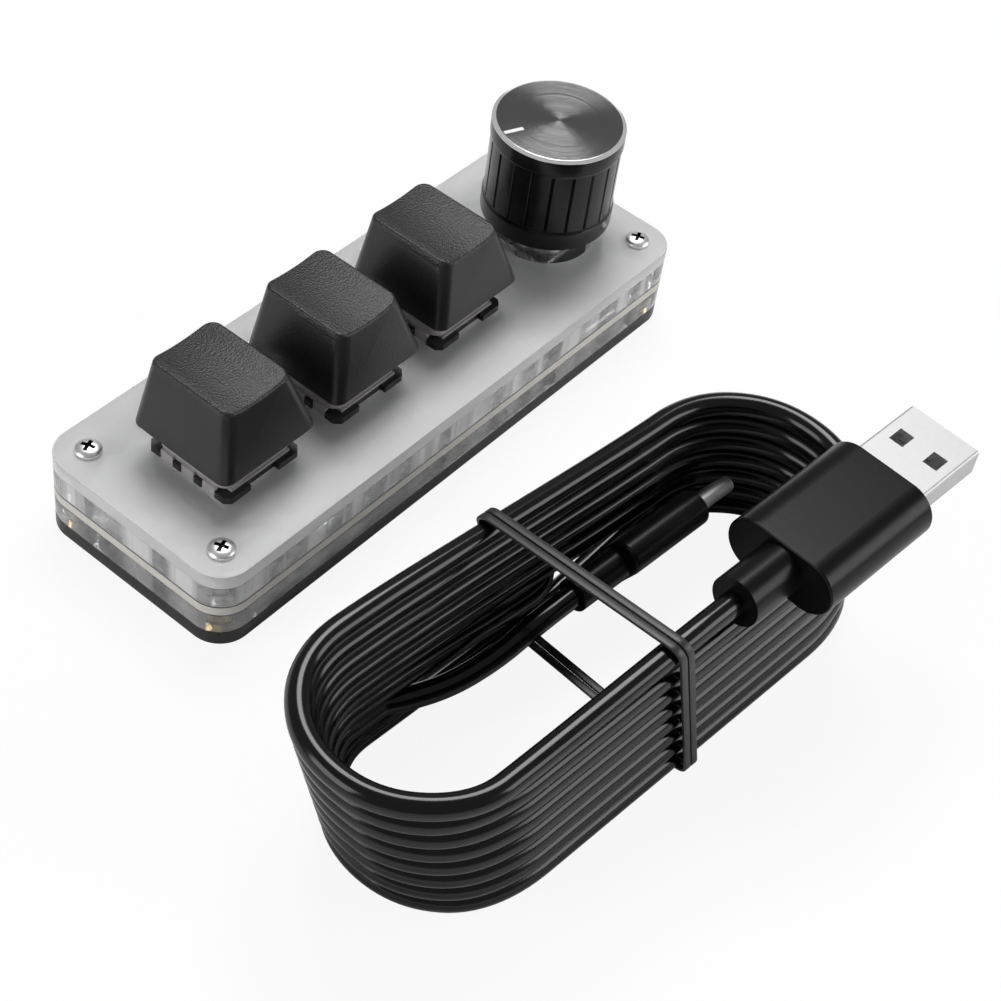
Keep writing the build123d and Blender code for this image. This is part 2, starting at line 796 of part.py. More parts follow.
with BuildPart() as knob_shell:
    with BuildSketch(knob_section):
        with BuildLine():
            Polyline(
                (0, knob_foot_z),
                (knob_foot_radius - knob_foot_round, knob_foot_z),
                (knob_foot_radius, knob_foot_z + knob_foot_round),
                (knob_foot_radius, knob_skirt_top),
                (knob_body_radius, groove_bottom),
                (knob_body_radius, knob_body_top),
                (knob_band_radius, knob_band_bottom),
                (knob_band_radius, knob_chamfer_z),
                (knob_face_radius, knob_top_z),
                (0, knob_top_z),
                close=True,
            )
        make_face()
    revolve(axis=knob_axis)
    with BuildSketch(knob_plane.offset(groove_bottom)):
        with PolarLocations(knob_body_radius, groove_count):
            Circle(groove_radius)
    extrude(amount=groove_top - groove_bottom, mode=Mode.SUBTRACT)
    with BuildSketch(knob_plane.offset(knob_foot_z)):
        Circle(knob_bore_radius)
    extrude(amount=knob_bore_top - knob_foot_z, mode=Mode.SUBTRACT)
    with BuildSketch(pointer_plane):
        with Locations((pointer_middle, 0)):
            Rectangle(pointer_outer - pointer_inner, pointer_width)
    extrude(amount=-pointer_depth, mode=Mode.SUBTRACT)
knob_shell.part.label = "knob_shell"
export_step(knob_shell.part, "parts/knob_shell.step")

with BuildPart() as knob_core:
    with BuildSketch(knob_plane.offset(core_bottom)):
        Circle(knob_bore_radius - core_gap)
    extrude(amount=core_top - core_bottom)
    with BuildSketch(knob_plane.offset(core_bottom)):
        Circle(core_counterbore_radius)
    extrude(amount=core_counterbore_top - core_bottom, mode=Mode.SUBTRACT)
    with BuildSketch(knob_plane.offset(core_counterbore_top)):
        Circle(shaft_radius + core_gap)
    extrude(amount=shaft_flat_from - core_counterbore_top, mode=Mode.SUBTRACT)
    with BuildSketch(knob_plane.offset(shaft_flat_from)):
        Circle(shaft_radius + core_gap)
        with Locations((shaft_flat_offset + core_gap + shaft_radius, 0)):
            Rectangle(2 * shaft_radius, 3 * shaft_radius, mode=Mode.SUBTRACT)
    extrude(amount=core_shaft_top - shaft_flat_from, mode=Mode.SUBTRACT)
knob_core.part.label = "knob_core"
export_step(knob_core.part, "parts/knob_core.step")

with BuildPart() as knob_pointer:
    with BuildSketch(pointer_plane):
        with Locations((pointer_middle, 0)):
            Rectangle(pointer_outer - pointer_inner - 2 * core_gap, pointer_width - 2 * core_gap)
    extrude(amount=-(pointer_depth - core_gap))
knob_pointer.part.label = "knob_pointer"
export_step(knob_pointer.part, "parts/knob_pointer.step")


# Socket and chips on the board

socket_mouth = Plane(
    origin=(socket_x, case_width / 2, board_top + socket_height / 2),
    x_dir=(1, 0, 0),
    z_dir=(0, -1, 0),
)
socket_inner_width = socket_width - 2 * socket_wall
socket_inner_height = socket_height - 2 * socket_wall
socket_inner_corner = socket_corner - socket_wall

with BuildPart() as usb_socket_shell:
    with BuildSketch(socket_mouth):
        RectangleRounded(socket_width, socket_height, socket_corner)
        RectangleRounded(socket_inner_width, socket_inner_height, socket_inner_corner, mode=Mode.SUBTRACT)
    extrude(amount=socket_depth)
usb_socket_shell.part.label = "usb_socket_shell"
export_step(usb_socket_shell.part, "parts/usb_socket_shell.step")

with BuildPart() as usb_socket_tongue:
    with BuildSketch(socket_mouth.offset(socket_depth - tongue_block)):
        RectangleRounded(
            socket_inner_width - 2 * core_gap,
            socket_inner_height - 2 * core_gap,
            socket_inner_corner - core_gap,
        )
    extrude(amount=tongue_block)
    with BuildSketch(socket_mouth.offset(socket_depth - tongue_block)):
        Rectangle(tongue_width, tongue_thickness)
    extrude(amount=-tongue_length)
usb_socket_tongue.part.label = "usb_socket_tongue"
export_step(usb_socket_tongue.part, "parts/usb_socket_tongue.step")

chip_x = (key_places[1] + key_places[2]) / 2

with BuildPart() as controller_chip:
    with BuildSketch(Plane.XY.offset(board_bottom)):
        with Locations((chip_x, chip_y)):
            Rectangle(chip_size, chip_size)
    extrude(amount=-chip_height)
controller_chip.part.label = "controller_chip"
export_step(controller_chip.part, "parts/controller_chip.step")

with BuildPart() as board_passives:
    with BuildSketch(Plane.XY.offset(board_bottom)):
        with Locations((chip_x, chip_y)):
            with GridLocations(passive_pitch_x, passive_pitch_y, 3, 2):
                Rectangle(passive_length, passive_width)
    extrude(amount=-passive_height)
board_passives.part.label = "board_passives"
export_step(board_passives.part, "parts/board_passives.step")


# Lead. u runs along the hank, v across it (away from the user) and w is the height.

hank_turn = math.radians(hank_angle)
hank_plane = Plane(
    origin=(hank_x, hank_y, 0),
    x_dir=(math.cos(hank_turn), math.sin(hank_turn), 0),
    z_dir=(0, 0, 1),
)


def on_hank(u, v, w):
    return hank_plane.from_local_coords(Vector(u, v, w))


def layer_height(turn):
    return tie_thickness + tie_gap + lead_radius + (turn - 1) * layer_pitch


def left_end(turn):
    return left_end_bottom + (turn - 1) * left_end_step


def right_end(turn):
    return right_end_bottom + (turn - 1) * right_end_step


def climb(start, finish):
    """A straight run, or two equal arcs in one plane that move the lead sideways."""
    run = finish[0] - start[0]
    step = (finish[1] - start[1], finish[2] - start[2])
    shift = math.hypot(*step)
    if shift == 0:
        Line(on_hank(*start), on_hank(*finish))
        return
    arc_radius = (run**2 + shift**2) / (4 * shift)
    half_turn = math.atan2(shift, abs(run))
    ahead = math.copysign(arc_radius * math.sin(half_turn), run)
    part_way = arc_radius * (1 - math.cos(half_turn)) / shift
    first = (start[0] + ahead, start[1] + step[0] * part_way, start[2] + step[1] * part_way)
    middle = (start[0] + run / 2, start[1] + step[0] / 2, start[2] + step[1] / 2)
    second = (finish[0] - ahead, finish[1] - step[0] * part_way, finish[2] - step[1] * part_way)
    ThreePointArc(on_hank(*start), on_hank(*first), on_hank(*middle))
    ThreePointArc(on_hank(*middle), on_hank(*second), on_hank(*finish))


top_level = layer_height(turn_count)
below_top = layer_height(turn_count - 1) + lead_radius
a_level = below_top + a_grip_gap + a_grip_thickness / 2

# The wound order: the small plug's end starts in the second layer, and the next turn goes under it. The run
# that then rises to the third layer passes behind the hank where it crosses the one that goes down.
layer_order = (2, 1, *range(3, turn_count + 1))
behind = loop_radius + layer_pitch
far_stops = {
    1: [(crossing_down, loop_radius, layer_height(1))],
    2: [(peel_u, peel_v, layer_height(2))],
    3: [
        (crossing_out, behind, layer_height(1)),
        (crossing_up, behind, crossing_level),
        (crossing_in, loop_radius, crossing_level),
    ],
}

with BuildLine() as lead_route:
    start = (c_sleeve_start - lead_straight, c_offset, c_level)
    Line(on_hank(c_sleeve_start, c_offset, c_level), on_hank(*start))
    for layer in layer_order:
        level = layer_height(layer)
        left = left_end(layer)
        for stop in (*far_stops.get(layer, ()), (left, loop_radius, level)):
            climb(start, stop)
            start = stop
        near_start = (left, -loop_radius, level)
        ThreePointArc(on_hank(*start), on_hank(left - loop_radius, 0, level), on_hank(*near_start))
        if layer < turn_count:
            right = right_end(layer)
            near_finish = (right, -loop_radius, level)
            Line(on_hank(*near_start), on_hank(*near_finish))
            start = (right, loop_radius, level)
            ThreePointArc(
                on_hank(*near_finish),
                on_hank(right + loop_radius, 0, level),
                on_hank(*start),
            )
    plug_approach = (a_start - lead_straight, a_offset, a_level)
    climb(near_start, plug_approach)
    Line(on_hank(*plug_approach), on_hank(a_start, a_offset, a_level))

lead_wire = lead_route.wire()

with BuildPart() as usb_lead:
    with BuildSketch(Plane(origin=lead_wire @ 0, z_dir=lead_wire % 0)):
        Circle(lead_radius)
    sweep(path=lead_wire)
usb_lead.part.label = "usb_lead"
export_step(usb_lead.part, "parts/usb_lead.step")

lead_length = lead_wire.length
sample_step = 2.0
sample_count = int(lead_length / sample_step)
samples = [lead_wire @ (index / sample_count) for index in range(sample_count + 1)]
apart = int(4 * lead_diameter / sample_step)
nearest = min(
    (samples[first] - samples[second]).length
    for first in range(len(samples))
    for second in range(first + apart, len(samples))
)
print("lead length", round(lead_length, 1), "least gap to itself", round(nearest - lead_diameter, 3))
lead_ideal = math.pi * lead_radius**2 * lead_length
print("lead volume over section times length", round(usb_lead.part.volume / lead_ideal, 4))

far_top = layer_height(turn_count - 1) + tie_far_share * layer_pitch + lead_radius + tie_gap
near_top = a_level + lead_radius + tie_gap
tie_far = loop_radius + lead_radius + tie_gap
tie_near = a_offset - lead_radius - tie_gap
tie_high = near_top + 2 * tie_thickness
tie_lean = (tie_head_u - tie_foot_u) / near_top
tie_plane = Plane(origin=on_hank(0, 0, 0), x_dir=hank_plane.y_dir, z_dir=hank_plane.x_dir)
lean_plane = Plane(origin=on_hank(0, tie_far - tie_join, 0), x_dir=hank_plane.x_dir, z_dir=-hank_plane.y_dir)


def tie_strip(width):
    """Corners of the leaning strip that the tie keeps to, seen across the hank."""
    head_u = tie_foot_u + tie_lean * tie_high
    return (
        (tie_foot_u - width / 2, 0),
        (tie_foot_u + width / 2, 0),
        (head_u + width / 2, tie_high),
        (head_u - width / 2, tie_high),
    )


with BuildSketch() as tie_inside:
    with BuildLine():
        Polyline(
            (tie_near, tie_thickness),
            (tie_far, tie_thickness),
            (tie_far, far_top),
            (tie_near, near_top),
            close=True,
        )
    make_face()
    fillet(tie_inside.vertices(), lead_radius + tie_gap)

with BuildPart() as lead_tie:
    with BuildSketch(tie_plane):
        add(tie_inside.sketch)
        offset(amount=tie_thickness)
        add(tie_inside.sketch, mode=Mode.SUBTRACT)
    extrude(amount=tie_high, both=True)
    with BuildSketch(lean_plane):
        with BuildLine():
            Polyline(*tie_strip(tie_width), close=True)
        make_face()
    extrude(amount=2 * hank_width, both=True, mode=Mode.INTERSECT)
    with BuildSketch(lean_plane):
        with BuildLine():
            Polyline(*tie_strip(tie_slit), close=True)
        make_face()
    extrude(amount=2 * hank_width, mode=Mode.SUBTRACT)
lead_tie.part.label = "lead_tie"
export_step(lead_tie.part, "parts/lead_tie.step")


# Large plug, flat side up

a_axis = Plane(
    origin=on_hank(a_start, a_offset, a_level),
    x_dir=hank_plane.y_dir,
    z_dir=hank_plane.x_dir,
)
a_grip_start = a_collar_length
a_shell_start = a_grip_start + a_grip_length

with BuildPart() as usb_a_grip:
    with BuildSketch(a_axis.offset(a_grip_start)):
        SlotOverall(a_grip_width, a_grip_thickness)
    extrude(amount=a_grip_length)
    fillet(usb_a_grip.edges().filter_by(GeomType.LINE, reverse=True), a_grip_round)
    with BuildSketch(a_axis):
        Circle(a_collar_radius)
    extrude(amount=a_collar_length + a_grip_round)
usb_a_grip.part.label = "usb_a_grip"
export_step(usb_a_grip.part, "parts/usb_a_grip.step")

a_inner_width = a_shell_width - 2 * a_shell_wall
a_inner_height = a_shell_height - 2 * a_shell_wall

with BuildPart() as usb_a_shell:
    with BuildSketch(a_axis.offset(a_shell_start)):
        RectangleRounded(a_shell_width, a_shell_height, a_shell_corner)
        Rectangle(a_inner_width, a_inner_height, mode=Mode.SUBTRACT)
    extrude(amount=a_shell_length)
    a_top = Plane(
        origin=a_axis.offset(a_shell_start + a_shell_length - a_window_back).origin,
        x_dir=a_axis.x_dir,
        z_dir=(0, 0, 1),
    )
    with BuildSketch(a_top):
        with GridLocations(a_window_spacing, 0, 2, 1):
            Rectangle(a_window_width, a_window_length)
    extrude(amount=a_shell_height, both=True, mode=Mode.SUBTRACT)
usb_a_shell.part.label = "usb_a_shell"
export_step(usb_a_shell.part, "parts/usb_a_shell.step")

a_insert_drop = a_inner_height / 2 - core_gap - a_insert_height / 2

with BuildPart() as usb_a_insert:
    with BuildSketch(a_axis.offset(a_shell_start)):
        with Locations((0, -a_insert_drop)):
            Rectangle(a_insert_width, a_insert_height)
    extrude(amount=a_shell_length - a_insert_recess)
usb_a_insert.part.label = "usb_a_insert"
export_step(usb_a_insert.part, "parts/usb_a_insert.step")

with BuildPart() as usb_a_contacts:
    with BuildSketch(a_axis.offset(a_shell_start + a_shell_length - a_contact_recess)):
        for place in a_contact_places:
            with Locations((place, -a_insert_drop + (a_insert_height + a_contact_height) / 2)):
                Rectangle(a_contact_width, a_contact_height)
    extrude(amount=-a_contact_length)
usb_a_contacts.part.label = "usb_a_contacts"
export_step(usb_a_contacts.part, "parts/usb_a_contacts.step")


# Small plug, on its narrow side

c_tilt = math.radians(c_lean)
c_axis = Plane(
    origin=on_hank(c_sleeve_start, c_offset, c_level),
    x_dir=hank_plane.z_dir * math.cos(c_tilt) - hank_plane.y_dir * math.sin(c_tilt),
    z_dir=hank_plane.x_dir,
)

with BuildPart() as usb_c_grip:
    with BuildSketch(c_axis.offset(c_sleeve_length)):
        SlotOverall(c_grip_width, c_grip_thickness)
    extrude(amount=c_grip_length)
    fillet(usb_c_grip.edges().filter_by(GeomType.LINE, reverse=True), c_grip_round)
    with BuildSketch(c_axis):
        Circle(c_sleeve_radius)
    extrude(amount=c_sleeve_length + c_grip_round)
usb_c_grip.part.label = "usb_c_grip"
export_step(usb_c_grip.part, "parts/usb_c_grip.step")

with BuildPart() as usb_c_shell:
    with BuildSketch(c_axis.offset(c_sleeve_length + c_grip_length)):
        SlotOverall(c_shell_width, c_shell_height)
        SlotOverall(c_shell_width - 2 * c_shell_wall, c_shell_height - 2 * c_shell_wall, mode=Mode.SUBTRACT)
    extrude(amount=c_shell_length)
usb_c_shell.part.label = "usb_c_shell"
export_step(usb_c_shell.part, "parts/usb_c_shell.step")
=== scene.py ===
# %% [markdown]
# # A three-key keypad with a knob, and its lead
# The CAD model is a fixed frame in metres: +X runs along the keys towards the knob, -Y faces the user, +Z
# is up. This notebook dresses that frame. Pieces whose CAD shape is already right only get a finish, and
# pieces that need softer edges or finer detail are modelled again here, in the same place.

# %% Load the frame
import math

import bmesh
import bpy
from mathutils import Matrix, Vector


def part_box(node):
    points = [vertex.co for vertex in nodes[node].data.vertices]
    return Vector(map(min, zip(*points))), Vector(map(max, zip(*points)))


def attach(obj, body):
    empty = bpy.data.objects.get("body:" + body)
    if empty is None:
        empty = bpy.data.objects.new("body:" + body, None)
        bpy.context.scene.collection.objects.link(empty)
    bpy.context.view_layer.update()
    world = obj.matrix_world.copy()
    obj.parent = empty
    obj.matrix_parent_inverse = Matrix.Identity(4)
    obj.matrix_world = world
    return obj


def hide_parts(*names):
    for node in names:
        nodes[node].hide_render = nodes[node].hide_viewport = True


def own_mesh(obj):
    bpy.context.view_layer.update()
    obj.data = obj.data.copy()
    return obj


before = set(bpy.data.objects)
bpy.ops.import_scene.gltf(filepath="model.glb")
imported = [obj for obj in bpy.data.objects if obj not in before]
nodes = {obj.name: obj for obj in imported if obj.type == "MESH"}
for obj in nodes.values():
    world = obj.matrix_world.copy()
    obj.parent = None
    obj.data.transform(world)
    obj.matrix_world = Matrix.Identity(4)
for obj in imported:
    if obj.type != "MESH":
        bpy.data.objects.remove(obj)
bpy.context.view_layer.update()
MM = 0.001

# %% [markdown]
# ## The camera
# The product is seen from above the near left corner, through a long lens. The angles below come from
# fitting the corners of the casing, the keys and the knob, and the small roll is part of that fit. A camera
# looks along its own -Z, so its three axes are worked out as directions and written into its matrix.

# %% Camera
view_azimuth = math.radians(57.13)
view_elevation = math.radians(46.96)
view_roll = math.radians(9.47)
view_distance = 329.93 * MM
view_target = Vector((-1.41, -27.48, 0.0)) * MM
view_lens = 76.67

back = Vector((
    -math.sin(view_azimuth) * math.cos(view_elevation),
    -math.cos(view_azimuth) * math.cos(view_elevation),
    math.sin(view_elevation),
))
level_right = (-back).cross(Vector((0, 0, 1))).normalized()
level_up = level_right.cross(-back)
right = level_right * math.cos(view_roll) + level_up * math.sin(view_roll)
up = level_up * math.cos(view_roll) - level_right * math.sin(view_roll)

camera_data = bpy.data.cameras.new("photo_camera")
camera_data.lens = view_lens
camera_data.sensor_width = 36.0
camera_data.clip_start = 0.01
camera = bpy.data.objects.new("photo_camera", camera_data)
bpy.context.scene.collection.objects.link(camera)
turned = Matrix((right, up, back)).transposed().to_4x4()
camera.matrix_world = Matrix.Translation(view_target + back * view_distance) @ turned
bpy.context.scene.camera = camera
print("camera at", [round(c, 4) for c in camera.matrix_world.translation])

# %% [markdown]
# ## The lead
# The lead is one length of round cable wound into eight level loops, one above another, and tied across the
# middle. A NURBS curve with a round bevel is the natural way: its control points go round the loops, and
# each far run climbs by one layer. The small plug's end comes off the second layer, so the next turn goes
# under it, and the run that then rises passes behind the hank where the two cross. On a round end the curve
# runs inside its control points, so these stand a little outside the bend. The cable's thickness is the
# radius of its points, which the bevel multiplies.

# %% Where the hank lies
hank_origin = Vector((-27.6, -60.6, 0.0)) * MM
hank_turn = math.radians(-4.46)
lead_diameter = 3.5 * MM
lead_radius = lead_diameter / 2
layer_pitch = (3.5 + 0.56) * MM
loop_radius = (34.3 - 3.5) / 2 * MM
tie_thickness = 0.5 * MM
tie_gap = 0.2 * MM
first_layer = tie_thickness + tie_gap + lead_radius
turn_count = 8
left_end_bottom, left_end_step = -23.7 * MM, -1.07 * MM
right_end_bottom, right_end_step = 37.7 * MM, -0.74 * MM
large_grip_height, large_grip_gap = 8.8 * MM, 0.3 * MM
below_top = first_layer + (turn_count - 2) * layer_pitch + lead_radius
large_plug_level = below_top + large_grip_gap + large_grip_height / 2
large_plug_start = Vector((9.7 * MM, -16.0 * MM, large_plug_level))
small_plug_start = Vector((9.4, 8.8, 12.0)) * MM
plug_straight = Vector((3.5 * MM, 0, 0))
hank_matrix = Matrix.Translation(hank_origin) @ Matrix.Rotation(hank_turn, 4, "Z")


def on_hank(u, v, w):
    """A point u along the hank, v across it and w up, in the frame."""
    return hank_matrix @ Vector((u, v, w))


print("large plug's axis is", round(large_plug_level / MM, 2), "mm up")

# %% The lead's control points
bend_angles = [math.radians(a) for a in (67.5, 22.5, -22.5, -67.5)]
bend_ease = 0.9254
lead_points = []


def add_bend(side, start, finish):
    """Four points round a half turn from start to finish; side is -1 at the left end and 1 at the right."""
    centre = (start + finish) / 2
    half = (start - finish) / 2
    for angle in bend_angles:
        out = Vector((side * half.length / bend_ease * math.cos(angle), 0, 0))
        lead_points.append(on_hank(*(centre + half * math.sin(angle) / bend_ease + out)))


def add_run(start, finish, shares):
    """Points along a run; each share gives how far along it is and how much of the climb is done."""
    for along, done in shares:
        lead_points.append(on_hank(
            start[0] + (finish[0] - start[0]) * along,
            start[1] + (finish[1] - start[1]) * done,
            start[2] + (finish[2] - start[2]) * done,
        ))


climb_shares = ((0.12, 0.0), (0.5, 0.5), (0.88, 1.0))
level_shares = ((0.2, 0.0), (0.5, 0.0), (0.8, 0.0))


def layer_height(layer):
    return first_layer + (layer - 1) * layer_pitch


behind = loop_radius + layer_pitch
crossing_level = 6.9 * MM
crossing_out, crossing_up, crossing_in = 28.0 * MM, 17.0 * MM, 9.5 * MM
crossing_down = 12.0 * MM
far_stops = {
    1: [(crossing_down, loop_radius, layer_height(1))],
    3: [
        (crossing_out, behind, layer_height(1)),
        (crossing_up, behind, crossing_level),
        (crossing_in, loop_radius, crossing_level),
    ],
}
peel_end = -20.5 * MM
peel_points = ((1.0, 9.0, 11.2), (-5.0, 9.8, 8.6), (-12.0, 11.4, 6.8), (-18.5, 14.0, 6.51))
print("layers with stops on the far side", list(far_stops))

# %% Winding the loops
lead_points.append(on_hank(*small_plug_start))
run_start = small_plug_start - plug_straight
lead_points.append(on_hank(*run_start))
for point in peel_points:
    lead_points.append(on_hank(*(Vector(point) * MM)))
run_start = Vector((peel_end, loop_radius, layer_height(2)))
for layer in (2, 1, *range(3, turn_count + 1)):
    level = layer_height(layer)
    left = left_end_bottom + (layer - 1) * left_end_step
    for stop in (*far_stops.get(layer, ()), (left, loop_radius, level)):
        add_run(run_start, stop, climb_shares)
        run_start = Vector(stop)
    near_start = Vector((left, -loop_radius, level))
    add_bend(-1, run_start, near_start)
    if layer < turn_count:
        near_finish = Vector((right_end_bottom + (layer - 1) * right_end_step, -loop_radius, level))
        add_run(near_start, near_finish, level_shares)
        run_start = Vector((near_finish.x, loop_radius, level))
        add_bend(1, near_finish, run_start)
plug_approach = large_plug_start - plug_straight
add_run(near_start, plug_approach, climb_shares)
lead_points.append(on_hank(*plug_approach))
lead_points.append(on_hank(*large_plug_start))
print("control points", len(lead_points))

# %% The lead's curve
lead_curve = bpy.data.curves.new("lead_cable", "CURVE")
lead_curve.dimensions = "3D"
lead_curve.bevel_depth = 1.0
lead_curve.bevel_resolution = 6
lead_curve.resolution_u = 12
lead_line = lead_curve.splines.new("NURBS")
lead_line.points.add(len(lead_points) - 1)
for point, place in zip(lead_line.points, lead_points):
    point.co = (*place, 1.0)
    point.radius = lead_radius
lead_line.order_u = 3
lead_line.use_endpoint_u = True
lead = bpy.data.objects.new("lead_cable", lead_curve)
bpy.context.scene.collection.objects.link(lead)
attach(lead, "keypad")
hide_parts("usb_lead")

# %% [markdown]
# ## Writing finishes as sums
# A finish is a node tree, and most of it is arithmetic: a mask times a number plus a noise. Two small
# classes keep that readable. A `Wire` stands for one output socket and turns `+ - * /` and comparisons into
# Math nodes. A `Finish` holds one material, adds any other node through a single method, and sets the main
# shader's sockets by name.

# %% Wires and finishes
class Wire:
    """One value in a finish. Sums on wires add Math nodes to its tree."""

    def __init__(self, finish, socket):
        self.finish = finish
        self.socket = socket

    def _sum(self, operation, first, second):
        return self.finish.node("ShaderNodeMath", {"operation": operation}, {0: first, 1: second})

    def __add__(self, other):
        return self._sum("ADD", self, other)

    __radd__ = __add__

    def __sub__(self, other):
        return self._sum("SUBTRACT", self, other)

    def __rsub__(self, other):
        return self._sum("SUBTRACT", other, self)

    def __mul__(self, other):
        return self._sum("MULTIPLY", self, other)

    __rmul__ = __mul__

    def __truediv__(self, other):
        return self._sum("DIVIDE", self, other)

    def __gt__(self, other):
        return self._sum("GREATER_THAN", self, other)

    def __lt__(self, other):
        return self._sum("LESS_THAN", self, other)


class Finish:
    """One material with a main shader, whose constants are set on its own sockets."""

    def __init__(self, name, **sockets):
        self.material = bpy.data.materials.new(name)
        self.material.use_nodes = True
        self.tree = self.material.node_tree
        self.tree.nodes.clear()
        self.shader = self.tree.nodes.new("ShaderNodeBsdfPrincipled")
        self.output = self.tree.nodes.new("ShaderNodeOutputMaterial")
        self.tree.links.new(self.shader.outputs[0], self.output.inputs["Surface"])
        self.set(**sockets)

    def feed(self, socket, value):
        if isinstance(value, Wire):
            self.tree.links.new(value.socket, socket)
        else:
            socket.default_value = value

    def set(self, **sockets):
        for name, value in sockets.items():
            self.feed(self.shader.inputs[name.replace("_", " ")], value)

    def node(self, kind, settings=None, sockets=None, out=0):
        made = self.tree.nodes.new(kind)
        for name, value in (settings or {}).items():
            setattr(made, name, value)
        for name, value in (sockets or {}).items():
            self.feed(made.inputs[name], value)
        return Wire(self, made.outputs[out])

    def cover(self, share, other):
        """Mixes another shader over the main one."""
        main = Wire(self, self.shader.outputs[0])
        mixed = self.node("ShaderNodeMixShader", None, {0: share, 1: main, 2: other})
        self.feed(self.output.inputs["Surface"], mixed)

    def place(self):
        return self.node("ShaderNodeTexCoord", out="Object")

    def axes(self):
        made = self.node("ShaderNodeSeparateXYZ", None, {0: self.place()})
        return made, *(Wire(self, made.socket.node.outputs[i]) for i in (1, 2))

    def noise(self, scale, detail=2.0, stretch=(1, 1, 1)):
        """Noise of a scale given per metre, in 0 to 1."""
        place = self.node("ShaderNodeMapping", None, {"Vector": self.place(), "Scale": stretch})
        return self.node(
            "ShaderNodeTexNoise",
            None,
            {"Vector": place, "Scale": scale, "Detail": detail, "Roughness": 0.5},
        )

    def blend(self, share, first, second):
        """A colour from first to second as share goes from 0 to 1."""
        return self.node("ShaderNodeMix", {"data_type": "RGBA"}, {0: share, 6: first, 7: second}, out=2)

    def rise(self, value, low, high):
        """0 below low and 1 above high, with a smooth step between."""
        return self.node(
            "ShaderNodeMapRange",
            {"interpolation_type": "SMOOTHSTEP"},
            {"Value": value, "From Min": low, "From Max": high},
        )

    def bump(self, height, strength, depth):
        """A normal from a height in 0 to 1, at most depth metres deep."""
        return self.node(
            "ShaderNodeBump", None, {"Height": height, "Strength": strength, "Distance": depth}
        )


def grey(level):
    return (level, level, level, 1.0)


def dress(piece, *finishes):
    """Gives a piece these finishes in place of what it had."""
    piece.data.materials.clear()
    for finish in finishes:
        piece.data.materials.append(finish.material)


print("finishes are ready")

# %% [markdown]
# ## Stage and light
# The product stands on white with hardly a shadow. A wide pale floor carries a soft shadow, and its own
# colour is lifted for the camera, so that it reads as paper. The light is a dim sky, which the camera
# itself sees as white, with large soft lamps: over the back for the tops, from the left for the ends and
# low in front for the lead.

# %% Floor
bpy.ops.object.select_all(action="DESELECT")
bpy.ops.mesh.primitive_plane_add(size=6.0, location=(0, 0, -0.0001))
floor = bpy.context.object
floor.name = "floor"
paper = Finish("paper_floor", Base_Color=grey(0.93), Roughness=0.9, Specular_IOR_Level=0.1)
light_path = paper.node("ShaderNodeLightPath", out="Is Camera Ray")
seen_through = Wire(paper, light_path.socket.node.outputs["Is Transmission Ray"])
glow = paper.node("ShaderNodeEmission", None, {"Color": grey(1.0), "Strength": 1.0})
paper.cover(0.9 * (light_path + seen_through), glow)
dress(floor, paper)
print("floor is", [round(d, 2) for d in floor.dimensions])

# %% World and lamps
scene = bpy.context.scene
scene.view_settings.view_transform = "Standard"
world = bpy.data.worlds.new("white_sky")
scene.world = world
world.use_nodes = True
sky_nodes, sky_links = world.node_tree.nodes, world.node_tree.links
sky_dim = sky_nodes["Background"]
sky_dim.inputs["Color"].default_value = grey(1.0)
sky_dim.inputs["Strength"].default_value = 0.25
sky_path = sky_nodes.new("ShaderNodeLightPath")
sky_white = sky_nodes.new("ShaderNodeBackground")
sky_white.inputs["Color"].default_value = grey(1.0)
sky_mix = sky_nodes.new("ShaderNodeMixShader")
sky_links.new(sky_path.outputs["Is Camera Ray"], sky_mix.inputs[0])
sky_links.new(sky_dim.outputs[0], sky_mix.inputs[1])
sky_links.new(sky_white.outputs[0], sky_mix.inputs[2])
sky_links.new(sky_mix.outputs[0], sky_nodes["World Output"].inputs["Surface"])


def softbox(name, place, aim, size, power):
    """A rectangular lamp of this size, in metres, facing its aim."""
    lamp = bpy.data.lights.new(name, "AREA")
    lamp.shape = "RECTANGLE"
    lamp.size, lamp.size_y = size
    lamp.energy = power
    holder = bpy.data.objects.new(name, lamp)
    scene.collection.objects.link(holder)
    holder.location = place
    holder.rotation_euler = (Vector(aim) - Vector(place)).to_track_quat("-Z", "Y").to_euler()


softbox("over_back", (0.34, 0.24, 0.85), (0, -0.03, 0.01), (0.5, 0.4), 5.8)
softbox("left_side", (-0.75, 0.25, 0.35), (0, -0.03, 0.01), (0.5, 0.5), 3.0)
softbox("front_right", (0.45, -0.70, 0.35), (0, -0.04, 0.01), (0.6, 0.4), 3.0)

# %% [markdown]
# ## Small tools for modelling
# Every piece below starts as a primitive and is shaped in edit mode. These helpers only do what each piece
# repeats: start with nothing selected, pick faces or points by where they are, and hand the finished piece
# over.

# %% Modelling tools
def start(adder, **settings):
    """A new primitive as the one selected object."""
    if bpy.context.mode != "OBJECT":
        bpy.ops.object.mode_set(mode="OBJECT")
    bpy.ops.object.select_all(action="DESELECT")
    adder(**settings)
    return bpy.context.object


def settle():
    """Puts the selected piece's place, turn and size into its mesh."""
    bpy.ops.object.transform_apply(location=True, rotation=True, scale=True)


def join(piece, *others):
    """Makes the others part of the piece."""
    bpy.ops.object.select_all(action="DESELECT")
    for member in (*others, piece):
        member.select_set(True)
    bpy.context.view_layer.objects.active = piece
    bpy.ops.object.join()


